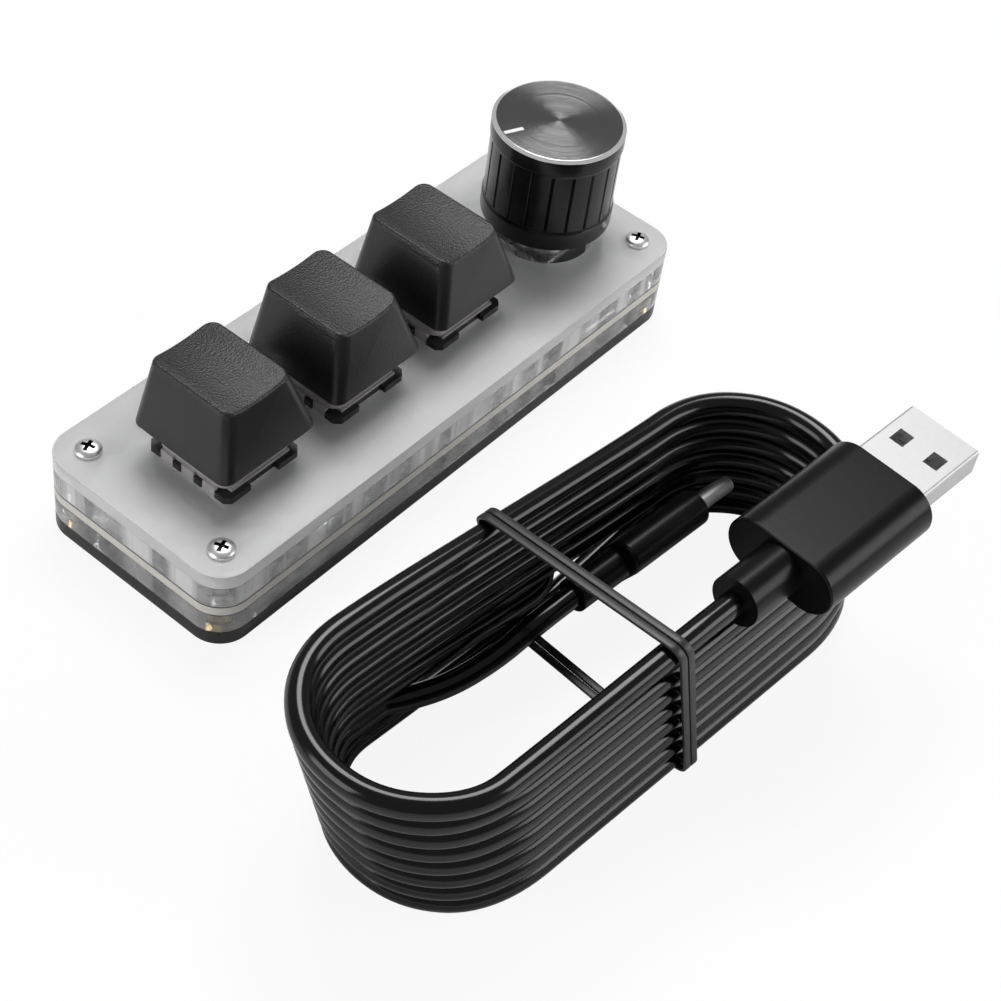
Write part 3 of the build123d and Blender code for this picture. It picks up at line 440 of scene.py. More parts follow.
def pick(piece, points=None, edges=None, faces=None):
    """Selects, in edit mode, the elements for which the given test is true."""
    mesh = bmesh.from_edit_mesh(piece.data)
    kind = "VERT" if points else "EDGE" if edges else "FACE"
    bpy.ops.mesh.select_mode(type=kind)
    bpy.ops.mesh.select_all(action="DESELECT")
    group = {"VERT": mesh.verts, "EDGE": mesh.edges, "FACE": mesh.faces}[kind]
    for element in group:
        if (points or edges or faces)(element):
            element.select_set(True)
    mesh.select_flush_mode()
    bmesh.update_edit_mesh(piece.data)


def ring(radius, level, centre, last):
    """Extrudes the selected edge loop to a new radius and level; last is the (radius, level) that it has."""
    bpy.ops.mesh.extrude_region_move(TRANSFORM_OT_translate={"value": (0, 0, level - last[1])})
    share = radius / last[0]
    bpy.ops.transform.resize(value=(share, share, 1), center_override=(*centre, level))
    return radius, level


def apply(piece, kind, **settings):
    """Adds a modifier with these settings and applies it."""
    modifier = piece.modifiers.new(kind.lower(), kind)
    for name, value in settings.items():
        setattr(modifier, name, value)
    bpy.context.view_layer.objects.active = piece
    bpy.ops.object.modifier_apply(modifier=modifier.name)


def cut(piece, tool):
    """Takes the tool's shape out of the piece and removes the tool."""
    apply(piece, "BOOLEAN", operation="DIFFERENCE", object=tool, solver="EXACT")
    bpy.data.objects.remove(tool)


def finish(piece, name, body, node, slot, angle=35):
    """Names a piece, puts its numbers in the frame and says what it rides on and replaces."""
    bpy.ops.object.select_all(action="DESELECT")
    piece.select_set(True)
    bpy.context.view_layer.objects.active = piece
    settle()
    bpy.ops.object.shade_smooth_by_angle(angle=math.radians(angle))
    piece.name = name
    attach(piece, body)
    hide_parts(node)
    print(name, "faces", len(piece.data.polygons))
    return piece


def copy_of(piece, offset):
    """A copy with its own mesh, moved by offset."""
    bpy.ops.object.select_all(action="DESELECT")
    piece.select_set(True)
    bpy.context.view_layer.objects.active = piece
    bpy.ops.object.duplicate(linked=False)
    twin = bpy.context.object
    twin.location = Vector(twin.location) + Vector(offset)
    return twin

# %% [markdown]
# ## The casing's sheets
# The casing is a stack of acrylic sheets cut by laser: a black base, two clear frames with the board
# between them, and a top whose face is frosted. Each starts as a cube, gets round corners and a hair of a
# bevel along its rims, and then the openings are cut through it. A hair of air stays between the sheets. It
# matters, because light inside clear acrylic is mirrored at air but not where another piece sits tight, and
# that is what makes the edges bright.

# %% Sheets and openings
case_length, case_width, case_corner = 107 * MM, 37.2 * MM, 5.2 * MM
base_top, board_bottom, board_top = 2.65 * MM, 6.45 * MM, 8.35 * MM
frame_top, plate_top = 12.2 * MM, 14.6 * MM
air = 0.03 * MM
screw_inset, screw_hole, standoff_hole = 5.15 * MM, 1.4 * MM, 2.25 * MM
key_hole, knob_hole = 14 * MM, 8.5 * MM
key_window_centre, key_window = (-10.35 * MM, -0.66 * MM), (67.3 * MM, 23.9 * MM)
encoder_window, window_corner = (16 * MM, 16 * MM), 2.0 * MM
through_top, through_upper = (10 * MM, 16 * MM), (6 * MM, 14 * MM)
through_lower, through_base = (1 * MM, 8 * MM), (-1 * MM, 4 * MM)
knob_centre = (38.9 * MM, -0.66 * MM)
key_places = [x * MM for x in (-34.4, -11.4, 11.6)]
row_y = -0.15 * MM
screw_x, screw_y = case_length / 2 - screw_inset, case_width / 2 - screw_inset
screw_places = [(sx * screw_x, sy * screw_y) for sx in (-1, 1) for sy in (-1, 1)]


def block(centre, size, bottom, top, corner, steps=8):
    """An upright block with round corners, from bottom to top."""
    made = start(bpy.ops.mesh.primitive_cube_add, size=1.0, location=(*centre, (bottom + top) / 2))
    made.scale = (*size, top - bottom)
    settle()
    bpy.ops.object.mode_set(mode="EDIT")
    pick(made, edges=lambda e: abs(e.verts[0].co.z - e.verts[1].co.z) > 0.1 * MM)
    bpy.ops.mesh.bevel(offset=corner, segments=steps, affect="EDGES")
    bpy.ops.object.mode_set(mode="OBJECT")
    return made


def sheet(bottom, top, soft_bottom, soft_top):
    """A blank of the casing's outline with softened rims."""
    made = block((0, 0), (case_length, case_width), bottom, top, case_corner, steps=20)
    bpy.ops.object.mode_set(mode="EDIT")
    for level, soft in ((bottom, soft_bottom), (top, soft_top)):
        pick(made, edges=lambda e: all(abs(v.co.z - level) < 1e-6 for v in e.verts))
        bpy.ops.mesh.bevel(offset=soft, segments=3, affect="EDGES")
    bpy.ops.object.mode_set(mode="OBJECT")
    return made


def drill(piece, centre, radius, bottom, top, sides=64):
    """A round hole through the piece."""
    tool = start(
        bpy.ops.mesh.primitive_cylinder_add,
        vertices=sides,
        radius=radius,
        depth=top - bottom,
        location=(*centre, (bottom + top) / 2),
    )
    cut(piece, tool)


def windows(piece, bottom, top):
    """The opening for the keys and the one for the encoder."""
    cut(piece, block(key_window_centre, key_window, bottom, top, window_corner))
    cut(piece, block(knob_centre, encoder_window, bottom, top, window_corner))


print("sheet tools are ready")

# %% Top sheet
top_sheet = sheet(frame_top + air, plate_top, 0.1 * MM, 0.25 * MM)
for x in key_places:
    cut(top_sheet, block((x, row_y), (key_hole, key_hole), *through_top, 0.3 * MM, steps=3))
drill(top_sheet, knob_centre, knob_hole, *through_top, sides=128)
for place in screw_places:
    drill(top_sheet, place, screw_hole, *through_top)
finish(top_sheet, "sheet_top", "keypad", "top_plate", "frosted_acrylic", angle=30)

# %% Clear frames and base
upper_sheet = sheet(board_top + air, frame_top, 0.15 * MM, 0.15 * MM)
windows(upper_sheet, *through_upper)
socket_width, socket_depth = 9.44 * MM, 7.6 * MM
socket_gap = (socket_width, 2 * socket_depth)
cut(upper_sheet, block((0, case_width / 2), socket_gap, *through_upper, 0.2 * MM, steps=2))
lower_sheet = sheet(base_top + air, board_bottom - air, 0.15 * MM, 0.15 * MM)
windows(lower_sheet, *through_lower)
base_sheet = sheet(0.0, base_top, 0.25 * MM, 0.1 * MM)
sink_size, sink_below = 3.45 * MM, 1.0 * MM
for place in screw_places:
    drill(upper_sheet, place, screw_hole, *through_upper)
    drill(lower_sheet, place, standoff_hole, *through_lower)
    drill(base_sheet, place, screw_hole, *through_base)
    sink = start(
        bpy.ops.mesh.primitive_cone_add,
        vertices=64,
        radius1=sink_size,
        radius2=0.0,
        depth=sink_size,
        location=(*place, sink_size / 2 - sink_below),
    )
    cut(base_sheet, sink)
finish(upper_sheet, "sheet_upper", "keypad", "upper_frame", "clear_acrylic", angle=30)
finish(lower_sheet, "sheet_lower", "keypad", "lower_frame", "clear_acrylic", angle=30)
finish(base_sheet, "sheet_base", "keypad", "base_plate", "black_acrylic", angle=30)

# %% [markdown]
# ## Keycaps
# A keycap is moulded in one shot: four sloping walls, a dished top for the fingertip and a hollow
# underneath with a round post that takes the switch stem. A cube with a smaller top gives the slopes, a
# large cylinder laid over it from front to back gives the dish, and a bevel softens the rim the way the
# mould does. One cap is modelled and copied twice.

# %% One keycap
cap_bottom, cap_top = 20.4 * MM, 30.85 * MM
cap_base, cap_top_x, cap_top_y, cap_shift = 19.2 * MM, 12.65 * MM, 15.8 * MM, 1.3 * MM
cap_over, cap_corner, cap_rim = 0.8 * MM, 1.9 * MM, 0.4 * MM
dish_depth = 0.6 * MM
dish_radius = ((cap_top_x / 2) ** 2 + dish_depth**2) / (2 * dish_depth)
cap_slope = (cap_top + cap_over - cap_bottom) / (cap_top - cap_bottom)
first_key = Vector((key_places[0], row_y, 0))

cap = start(
    bpy.ops.mesh.primitive_cube_add,
    size=1.0,
    location=first_key + Vector((0, 0, (cap_bottom + cap_top + cap_over) / 2)),
)
cap.scale = (cap_base, cap_base, cap_top + cap_over - cap_bottom)
settle()
bpy.ops.object.mode_set(mode="EDIT")
pick(cap, faces=lambda f: f.normal.z > 0.9)
bpy.ops.transform.resize(value=(
    1 + (cap_top_x / cap_base - 1) * cap_slope,
    1 + (cap_top_y / cap_base - 1) * cap_slope,
    1,
), center_override=(*first_key.xy, cap_top + cap_over))
bpy.ops.transform.translate(value=(0, cap_shift * cap_slope, 0))
pick(cap, edges=lambda e: abs(e.verts[0].co.z - e.verts[1].co.z) > 5 * MM)
bpy.ops.mesh.bevel(offset=cap_corner, segments=8, affect="EDGES")
bpy.ops.object.mode_set(mode="OBJECT")
dish = start(
    bpy.ops.mesh.primitive_cylinder_add,
    vertices=192,
    radius=dish_radius,
    depth=40 * MM,
    location=first_key + Vector((0, 0, cap_top - dish_depth + dish_radius)),
    rotation=(math.pi / 2, 0, 0),
)
cut(cap, dish)
apply(
    cap,
    "BEVEL",
    width=cap_rim,
    segments=4,
    limit_method="ANGLE",
    angle_limit=math.radians(40),
    use_clamp_overlap=False,
)
print("cap blank", [round(d / MM, 2) for d in cap.dimensions])

# %% The cap's hollow and post
cap_wall = 1.0 * MM
ceiling, ceiling_x, ceiling_y = 28.4 * MM, 11.6 * MM, 13.6 * MM
hollow = start(
    bpy.ops.mesh.primitive_cube_add,
    size=1.0,
    location=first_key + Vector((0, 0, (cap_bottom + ceiling) / 2)),
)
inside = cap_base - 2 * cap_wall
hollow.scale = (inside, inside, ceiling - cap_bottom)
settle()
bpy.ops.object.mode_set(mode="EDIT")
pick(hollow, faces=lambda f: f.normal.z > 0.9)
ceiling_share = (ceiling_x / inside, ceiling_y / inside, 1)
bpy.ops.transform.resize(value=ceiling_share, center_override=(*first_key.xy, ceiling))
bpy.ops.transform.translate(value=(0, cap_shift * (ceiling - cap_bottom) / (cap_top - cap_bottom), 0))
pick(hollow, faces=lambda f: f.normal.z < -0.9)
bpy.ops.mesh.extrude_region_move(TRANSFORM_OT_translate={"value": (0, 0, -1 * MM)})
bpy.ops.object.mode_set(mode="OBJECT")
cut(cap, hollow)
post_bottom, post_top, post_radius = 21.6 * MM, ceiling + 0.3 * MM, 2.7 * MM
post = start(
    bpy.ops.mesh.primitive_cylinder_add,
    vertices=48,
    radius=post_radius,
    depth=post_top - post_bottom,
    location=first_key + Vector((0, 0, (post_top + post_bottom) / 2)),
)
stem_middle, stem_depth = first_key + Vector((0, 0, 23.2 * MM)), 4.0 * MM
for hole_x, hole_y in ((4.1 * MM, 1.4 * MM), (1.2 * MM, 4.1 * MM)):
    stem_hole = start(bpy.ops.mesh.primitive_cube_add, size=1.0, location=stem_middle)
    stem_hole.scale = (hole_x, hole_y, stem_depth)
    settle()
    cut(post, stem_hole)
join(cap, post)
print("cap with its post", len(cap.data.polygons), "faces")

# %% Three keycaps
caps = [cap] + [copy_of(cap, (x - key_places[0], 0, 0)) for x in key_places[1:]]
for number, piece in enumerate(caps, 1):
    finish(piece, f"cap_{number}", f"key_{number}", f"keycap_{number}", "keycap_plastic")

# %% [markdown]
# ## The knob
# Knobs like this are turned from aluminium bar, grooved along the side for grip, anodised black and then
# given one bright cut: the narrow chamfer round the top. Ring by ring extrusion of a circle follows the
# turning. The grooves are pairs of side faces whose shared edge is pulled towards the axis. A pocket in the
# top takes the white pointer.

# %% Turned body
knob_sides, groove_count = 240, 20
bore_radius, bore_top = 7.0 * MM, 34.6 * MM
knob_top_mm, waist_mm, groove_mm = 37.07, 10.55, 0.32
knob = start(
    bpy.ops.mesh.primitive_circle_add,
    vertices=knob_sides,
    radius=bore_radius,
    fill_type="NGON",
    location=(*knob_centre, bore_top),
)
settle()
bpy.ops.object.mode_set(mode="EDIT")
pick(knob, edges=lambda e: True)
at = (bore_radius, bore_top)
knob_profile = [
    (7.0, 19.1), (10.3, 19.1), (10.61, 19.21), (10.76, 19.36), (10.8, 19.6), (10.8, 22.3), (10.72, 22.4),
    (10.55, 22.85), (10.55, 22.95), (10.55, 33.6), (10.55, 33.7), (10.6, 34.05), (10.75, 34.3), (10.75, 36.7),
    (10.74, 36.74), (10.16, 37.06), (10.1, knob_top_mm), (5.0, knob_top_mm), (0.4, knob_top_mm),
]
for radius, level in knob_profile:
    at = ring(radius * MM, level * MM, knob_centre, at)
bpy.ops.mesh.edge_face_add()
step = 2 * math.pi / knob_sides
groove_bottom, groove_top, inside_grooves = 22.9 * MM, 33.65 * MM, 10 * MM


def in_groove(vertex):
    """True for the middle points of the grooves, between the two rings that end them."""
    place = vertex.co.xy - Vector(knob_centre)
    around = math.atan2(place.y, place.x) / step % (knob_sides / groove_count)
    middle = min(around, knob_sides / groove_count - around) < 0.25
    return middle and groove_bottom < vertex.co.z < groove_top and place.length > inside_grooves


pick(knob, points=in_groove)
groove_share = (waist_mm - groove_mm) / waist_mm
bpy.ops.transform.resize(value=(groove_share, groove_share, 1), center_override=(*knob_centre, 28 * MM))
pick(knob, faces=lambda f: True)
bpy.ops.mesh.normals_make_consistent(inside=False)
bpy.ops.object.mode_set(mode="OBJECT")
print("knob body", len(knob.data.polygons), "faces")

# %% Pointer pocket
pointer_angle = math.radians(157)
pointer_in, pointer_out, pointer_width, pocket_height = 6.5 * MM, 9.9 * MM, 0.75 * MM, 0.7 * MM
pointer_middle = (pointer_in + pointer_out) / 2
pocket = start(
    bpy.ops.mesh.primitive_cube_add,
    size=1.0,
    location=(
        knob_centre[0] + pointer_middle * math.cos(pointer_angle),
        knob_centre[1] + pointer_middle * math.sin(pointer_angle),
        knob_top_mm * MM,
    ),
    rotation=(0, 0, pointer_angle),
)
pocket.scale = (pointer_out - pointer_in, pointer_width, pocket_height)
settle()
cut(knob, pocket)
finish(knob, "knob_turned", "knob", "knob_shell", "knob_black", angle=18)

# %% [markdown]
# ## Corner screws
# Small pan-head machine screws with a cross recess. The head is a short drum with a domed top, again ring
# by ring, and the recess is two crossed blocks cut into the dome. One is modelled, with a plain round
# shank, and copied to the corners; the four are joined, because the frame counts them as one group.

# %% One screw
first_screw = screw_places[0]
shank_radius, shank_end = 1.25 * MM, 4.8 * MM
blade_size, blade_level, blade_turn = (2.2 * MM, 0.62 * MM, 1.3 * MM), 15.5 * MM, math.radians(20)
screw = start(
    bpy.ops.mesh.primitive_circle_add,
    vertices=64,
    radius=shank_radius,
    fill_type="NGON",
    location=(*first_screw, shank_end),
)
settle()
bpy.ops.object.mode_set(mode="EDIT")
pick(screw, edges=lambda e: True)
at = (shank_radius, shank_end)
screw_profile = [
    (1.25, 14.61), (1.98, 14.61), (2.06, 14.68), (2.08, 14.8), (2.08, 15.0), (2.04, 15.1), (1.92, 15.22),
    (1.7, 15.38), (1.35, 15.54), (0.9, 15.65), (0.4, 15.71), (0.1, 15.72),
]
for radius, level in screw_profile:
    at = ring(radius * MM, level * MM, first_screw, at)
bpy.ops.mesh.edge_face_add()
pick(screw, faces=lambda f: True)
bpy.ops.mesh.normals_make_consistent(inside=False)
bpy.ops.object.mode_set(mode="OBJECT")
for turn in (0.0, math.pi / 2):
    blade = start(
        bpy.ops.mesh.primitive_cube_add,
        size=1.0,
        location=(*first_screw, blade_level),
        rotation=(0, 0, blade_turn + turn),
    )
    blade.scale = blade_size
    settle()
    cut(screw, blade)
print("screw", len(screw.data.polygons), "faces")

# %% Four screws
offsets = [(x - first_screw[0], y - first_screw[1], 0) for x, y in screw_places[1:]]
join(screw, *[copy_of(screw, offset) for offset in offsets])
finish(screw, "corner_screws", "keypad", "top_screws", "screw_steel", angle=40)

# %% [markdown]
# ## The tie
# Two flat strands of a plastic tie go round the bundle and lean along it. A box with its two ends taken off
# is already a band; its corner edges are bevelled into round bends, its top is pushed along the hank for
# the lean, and a solidify modifier gives it thickness. The second strand is a copy beside the first.

# %% One strand
tie_far = loop_radius + lead_radius + tie_gap
tie_near = large_plug_start.y - lead_radius - tie_gap
near_top = large_plug_level + lead_radius + tie_gap
far_top = first_layer + (turn_count - 2 + 0.7) * layer_pitch + lead_radius + tie_gap
tie_foot, tie_head = 7.2 * MM, -3.0 * MM
strand_width, strand_slit = 1.18 * MM, 0.24 * MM
half_way = 10 * MM

strand = start(
    bpy.ops.mesh.primitive_cube_add,
    size=1.0,
    location=(0, (tie_far + tie_near) / 2, (near_top + tie_thickness) / 2),
)
strand.scale = (strand_width, tie_far - tie_near, near_top - tie_thickness)
settle()
bpy.ops.object.mode_set(mode="EDIT")
pick(strand, faces=lambda f: abs(f.normal.x) > 0.9)
bpy.ops.mesh.delete(type="ONLY_FACE")
pick(strand, points=lambda v: v.co.z > half_way and v.co.y > 0)
bpy.ops.transform.translate(value=(0, 0, far_top - near_top))
pick(strand, points=lambda v: v.co.z > half_way)
bpy.ops.transform.translate(value=(tie_head - tie_foot, 0, 0))
pick(strand, edges=lambda e: (e.verts[0].co - e.verts[1].co).yz.length < 0.01 * MM)
bpy.ops.mesh.bevel(offset=lead_radius + tie_gap, segments=8, affect="EDGES")
bpy.ops.object.mode_set(mode="OBJECT")
apply(strand, "SOLIDIFY", thickness=tie_thickness, offset=1.0)
apply(strand, "BEVEL", width=0.12 * MM, segments=2, limit_method="ANGLE", angle_limit=math.radians(50))
print("strand", len(strand.data.polygons), "faces")

# %% Both strands, in place
twin = copy_of(strand, (strand_width + strand_slit, 0, 0))
join(strand, twin)
strand.matrix_world = hank_matrix @ Matrix.Translation((tie_foot - (strand_width + strand_slit) / 2, 0, 0))
tie = finish(strand, "tie_strands", "keypad", "lead_tie", "grip_black", angle=40)

# %% [markdown]
# ## Springs that give way
# Under each stem stands a coil spring, and under the encoder's plunger a small steel dome. Both are pressed
# down with the key or the knob, and they are modelled here. The coil is one round section with a Screw
# modifier, the dome a slice off a large sphere with a Solidify modifier.

# %% Key springs
spring_wire, spring_radius, spring_turns = 0.16 * MM, 2.05 * MM, 8
spring_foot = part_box("switch_1_spring")[0][2]
spring_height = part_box("switch_1_spring")[1][2] - spring_foot

coil = start(
    bpy.ops.mesh.primitive_circle_add,
    vertices=8,
    radius=spring_wire,
    location=(spring_radius, 0, 0),
    rotation=(math.radians(90), 0, 0),
)
settle()
apply(
    coil,
    "SCREW",
    screw_offset=(spring_height - 2 * spring_wire) / spring_turns,
    iterations=spring_turns,
    steps=24,
    render_steps=24,
)
bpy.ops.object.mode_set(mode="EDIT")
bpy.ops.mesh.select_all(action="SELECT")
bpy.ops.mesh.remove_doubles(threshold=0.001 * MM)
bpy.ops.mesh.fill_holes(sides=0)
bpy.ops.mesh.normals_make_consistent(inside=False)
bpy.ops.object.mode_set(mode="OBJECT")
coil.location = (key_places[0], row_y, spring_foot + spring_wire)
springs = [coil] + [copy_of(coil, (x - key_places[0], 0, 0)) for x in key_places[1:]]
for number, piece in enumerate(springs, 1):
    finish(piece, f"spring_{number}", "keypad", f"switch_{number}_spring", "spring_steel")
    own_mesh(piece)

# %% Dome under the knob
dome_low, dome_high = (Vector(corner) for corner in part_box("encoder_dome"))
dome_steel = 0.12 * MM
dome_rise = dome_high.z - dome_low.z
dome_radius = (dome_high.x - dome_low.x) / 2
sphere_radius = (dome_radius**2 + dome_rise**2) / (2 * dome_rise)
dome_middle = (dome_low + dome_high) / 2
dome = start(
    bpy.ops.mesh.primitive_uv_sphere_add,
    segments=32,
    ring_count=64,
    radius=sphere_radius,
    location=(*dome_middle.xy, dome_high.z - sphere_radius),
)
settle()
bpy.ops.object.mode_set(mode="EDIT")
bpy.ops.mesh.select_all(action="SELECT")
bpy.ops.mesh.bisect(plane_co=(0, 0, dome_low.z + dome_steel), plane_no=(0, 0, 1), clear_inner=True)
bpy.ops.object.mode_set(mode="OBJECT")
apply(dome, "SOLIDIFY", thickness=dome_steel, offset=-1.0)
finish(dome, "push_dome", "keypad", "encoder_dome", "spring_steel")
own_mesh(dome)

# %% [markdown]
# ## Black plastics
# The blacks are told apart by their surface. The caps are moulded with a fine pebble on the top and a satin
# skin on the sides. The switch housings are smoother. The lead's jacket is glossy, the plugs' grips and the
# tie are duller, and the knob is anodised metal whose top is turned in fine rings. Each gets a small noise,
# because no moulding is the same all over.

# %% Keycap plastic
cap_skin = Finish("cap_skin", Specular_IOR_Level=0.45)
rim_low, rim_high = 29.7 * MM, 30.2 * MM
top_share = cap_skin.rise(cap_skin.axes()[2], rim_low, rim_high)
pebble = cap_skin.node(
    "ShaderNodeTexVoronoi",
    {"feature": "SMOOTH_F1"},
    {"Vector": cap_skin.place(), "Scale": 3300.0, "Smoothness": 0.5, "Randomness": 1.0},
    out="Distance",
)
grain = cap_skin.noise(4600.0, detail=3.0)
cloud = cap_skin.noise(140.0)
cap_skin.set(
    Base_Color=cap_skin.blend(cloud, grey(0.009), grey(0.014)),
    Roughness=0.30 + 0.06 * cloud + 0.08 * top_share,
    Normal=cap_skin.bump((0.25 + 0.75 * top_share) * (0.6 * pebble + 0.4 * grain), 0.75, 0.12 * MM),
)
for piece in caps:
    dress(piece, cap_skin)
print("caps dressed")

# %% Lead, grips and tie
rubber = Finish("glossy_rubber", Specular_IOR_Level=0.38)
smear = rubber.noise(90.0, detail=3.0)
fine = rubber.noise(2600.0)
rubber.set(
    Base_Color=rubber.blend(smear, grey(0.0020), grey(0.0035)),
    Roughness=0.14 + 0.05 * smear,
    Normal=rubber.bump(fine, 0.05, 0.03 * MM),
)
dress(lead, rubber)
grip_skin = Finish("grip_plastic", Specular_IOR_Level=0.18)
smear = grip_skin.noise(70.0, detail=3.0)
fine = grip_skin.noise(4000.0, detail=3.0)
grip_skin.set(
    Base_Color=grip_skin.blend(smear, grey(0.003), grey(0.005)),
    Roughness=0.24 + 0.08 * smear,
    Normal=grip_skin.bump(fine, 0.08, 0.03 * MM),
)
strap = Finish("tie_plastic", Specular_IOR_Level=0.45)
cloud = strap.noise(500.0)
strap.set(Base_Color=strap.blend(cloud, grey(0.018), grey(0.030)), Roughness=0.34 + 0.10 * cloud)
dress(tie, strap)
for name in ("usb_a_grip", "usb_c_grip"):
    dress(nodes[name], grip_skin)
print("lead dressed")

# %% Switch housings
housing = Finish("housing_black", Specular_IOR_Level=0.5)
cloud = housing.noise(400.0)
housing.set(
    Base_Color=housing.blend(cloud, grey(0.010), grey(0.018)),
    Roughness=0.30 + 0.12 * cloud,
    Normal=housing.bump(housing.noise(6000.0), 0.1, 0.03 * MM),
)
stem = Finish("stem_red", Specular_IOR_Level=0.5)
cloud = stem.noise(600.0)
stem.set(
    Base_Color=stem.blend(cloud, (0.30, 0.010, 0.012, 1), (0.42, 0.020, 0.020, 1)),
    Roughness=0.35 + 0.1 * cloud,
)
for number in (1, 2, 3):
    dress(nodes[f"switch_{number}_base"], housing)
    dress(nodes[f"switch_{number}_stem"], stem)
for name in ("encoder_rotor", "encoder_plunger", "knob_core", "usb_socket_tongue", "controller_chip"):
    dress(nodes[name], housing)
insert = Finish("plug_insert", Specular_IOR_Level=0.4, Roughness=0.5)
insert.set(Base_Color=insert.blend(insert.noise(900.0), grey(0.46), grey(0.56)))
dress(nodes["usb_a_insert"], insert)
print("housings dressed")

# %% Knob
anodised = Finish("knob_anodised", Metallic=0.6, Specular_IOR_Level=0.5)
turning = anodised.noise(5000.0, stretch=(0.01, 0.01, 1))
anodised.set(
    Base_Color=anodised.blend(turning, grey(0.010), grey(0.020)),
    Roughness=0.20 + 0.08 * turning,
    Normal=anodised.bump(turning, 0.08, 0.02 * MM),
)
bright_cut = Finish("knob_bright_cut", Metallic=0.75)
streak = bright_cut.noise(3000.0, detail=3.0)
bright_cut.set(Base_Color=bright_cut.blend(streak, grey(0.90), grey(0.97)), Roughness=0.10 + 0.10 * streak)
spun = Finish("knob_spun", Metallic=0.9)
x, y, _ = spun.axes()
out_x = x - knob_centre[0]
out_y = y - knob_centre[1]
out = spun.node("ShaderNodeMath", {"operation": "SQRT"}, {0: out_x * out_x + out_y * out_y}) + 0.01 * MM
rings = spun.node(
    "ShaderNodeTexNoise",
    {"noise_dimensions": "1D"},
    {"W": out, "Scale": 45000.0, "Detail": 1.0},
)
lean = 1.3 * (rings - 0.5)
leaning = spun.node("ShaderNodeCombineXYZ", None, {0: lean * out_x / out, 1: lean * out_y / out, 2: 1.0})
even = spun.node("ShaderNodeVectorMath", {"operation": "NORMALIZE"}, {0: leaning})
spun.set(
    Base_Color=spun.blend(rings, grey(0.12), grey(0.20)),
    Roughness=0.15 + 0.08 * rings,
    Normal=spun.node(
        "ShaderNodeVectorTransform",
        {"vector_type": "NORMAL", "convert_from": "OBJECT", "convert_to": "WORLD"},
        {0: even},
    ),
)
dress(knob, anodised, bright_cut, spun)
face_level, cut_level = (knob_top_mm - 0.0005) * MM, 36.72 * MM
face_radius, cut_radius = 10.12 * MM, 10.1 * MM
for face in knob.data.polygons:
    middle = face.center
    radius = (middle.xy - Vector(knob_centre)).length
    if middle.z > face_level and radius < face_radius:
        face.material_index = 2
    elif middle.z > cut_level and radius > cut_radius:
        face.material_index = 1
print("knob faces by finish", [sum(f.material_index == i for f in knob.data.polygons) for i in range(3)])
paint = Finish("pointer_paint", Specular_IOR_Level=0.4)
paint.set(Base_Color=paint.blend(paint.noise(2000.0), grey(0.80), grey(0.90)), Roughness=0.5)
dress(nodes["knob_pointer"], paint)

# %% [markdown]
# ## Clear and frosted acrylic
# Two sheets are clear, and light runs inside them until it leaves at an edge. Not enough of it does so
# here, so a share of white haze, in upright blocks and more of it in the upper frame, is painted light
# that makes up the rest. The top sheet is the same acrylic with its face blasted matt: it still lets light
# through, but scatters it, so what is close behind it shows softly and what is deeper only as a shade. A
# rough transmission with a share of plain milky white gives both. That share grows towards the outer edges
# as a painted lighter rim, and is larger on the faces that are not matt, painted light on the sawn edges.

# %% Acrylic sheets
clear = Finish("acrylic_clear", Base_Color=(0.96, 0.97, 0.97, 1), Transmission_Weight=1.0, IOR=1.49)
sawn = clear.noise(900.0, detail=3.0, stretch=(1, 1, 0.05))
clear.set(Roughness=0.03 + 0.05 * sawn, Normal=clear.bump(sawn, 0.06, 0.05 * MM))
# The white diffuse share is painted light: it stands in for light leaving the frames' edges, in upright
# blocks and more in the upper frame.
haze_and_painted_light = clear.node("ShaderNodeBsdfDiffuse", None, {"Color": grey(0.95)})
above_board = clear.axes()[2] > board_top - 0.15 * MM
painted_light_blocks = clear.rise(clear.noise(220.0, detail=4.0, stretch=(1, 1, 0.03)), 0.36, 0.64)
clear.cover(0.05 + 0.08 * sawn + (0.16 + 0.30 * above_board) * painted_light_blocks, haze_and_painted_light)
for piece in (upper_sheet, lower_sheet):
    dress(piece, clear)

frosted = Finish("acrylic_frosted", Base_Color=(0.95, 0.955, 0.955, 1), Transmission_Weight=1.0, IOR=1.49)
x, y, z = frosted.axes()
matt = z > plate_top - 0.05 * MM
blast = frosted.noise(9000.0)
edge_saw = frosted.noise(900.0, detail=3.0, stretch=(1, 1, 0.05))
frosted.set(
    Roughness=0.08 + matt * (0.30 + 0.08 * blast),
    Normal=frosted.bump(matt * 0.4 * blast + (1 - matt) * edge_saw, 0.12, 0.05 * MM),
)
# The milky white share is partly the blasted face's own scatter and partly painted light: it is larger on the
# faces that are not matt, brightening the sawn edges.
milk_and_painted_light = frosted.node("ShaderNodeBsdfDiffuse", None, {"Color": grey(0.95)})
along = frosted.node("ShaderNodeMath", {"operation": "ABSOLUTE"}, {0: x}) - case_length / 2
across = frosted.node("ShaderNodeMath", {"operation": "ABSOLUTE"}, {0: y}) - case_width / 2
from_edge = frosted.node("ShaderNodeMath", {"operation": "MAXIMUM"}, {0: along, 1: across})
# A painted lighter rim: the milky share on the matt face grows over the last 9 mm to the outer edges.
painted_rim_light = frosted.rise(from_edge, -9.0 * MM, 0.0)
frosted.cover(0.40 + matt * (0.30 * painted_rim_light - 0.22), milk_and_painted_light)
dress(top_sheet, frosted)

cover = Finish("housing_clear", Base_Color=(0.92, 0.90, 0.905, 1), Transmission_Weight=1.0, IOR=1.55)
cloud = cover.noise(500.0)
cover.set(Roughness=0.06 + 0.10 * cloud, Normal=cover.bump(cloud, 0.1, 0.1 * MM))
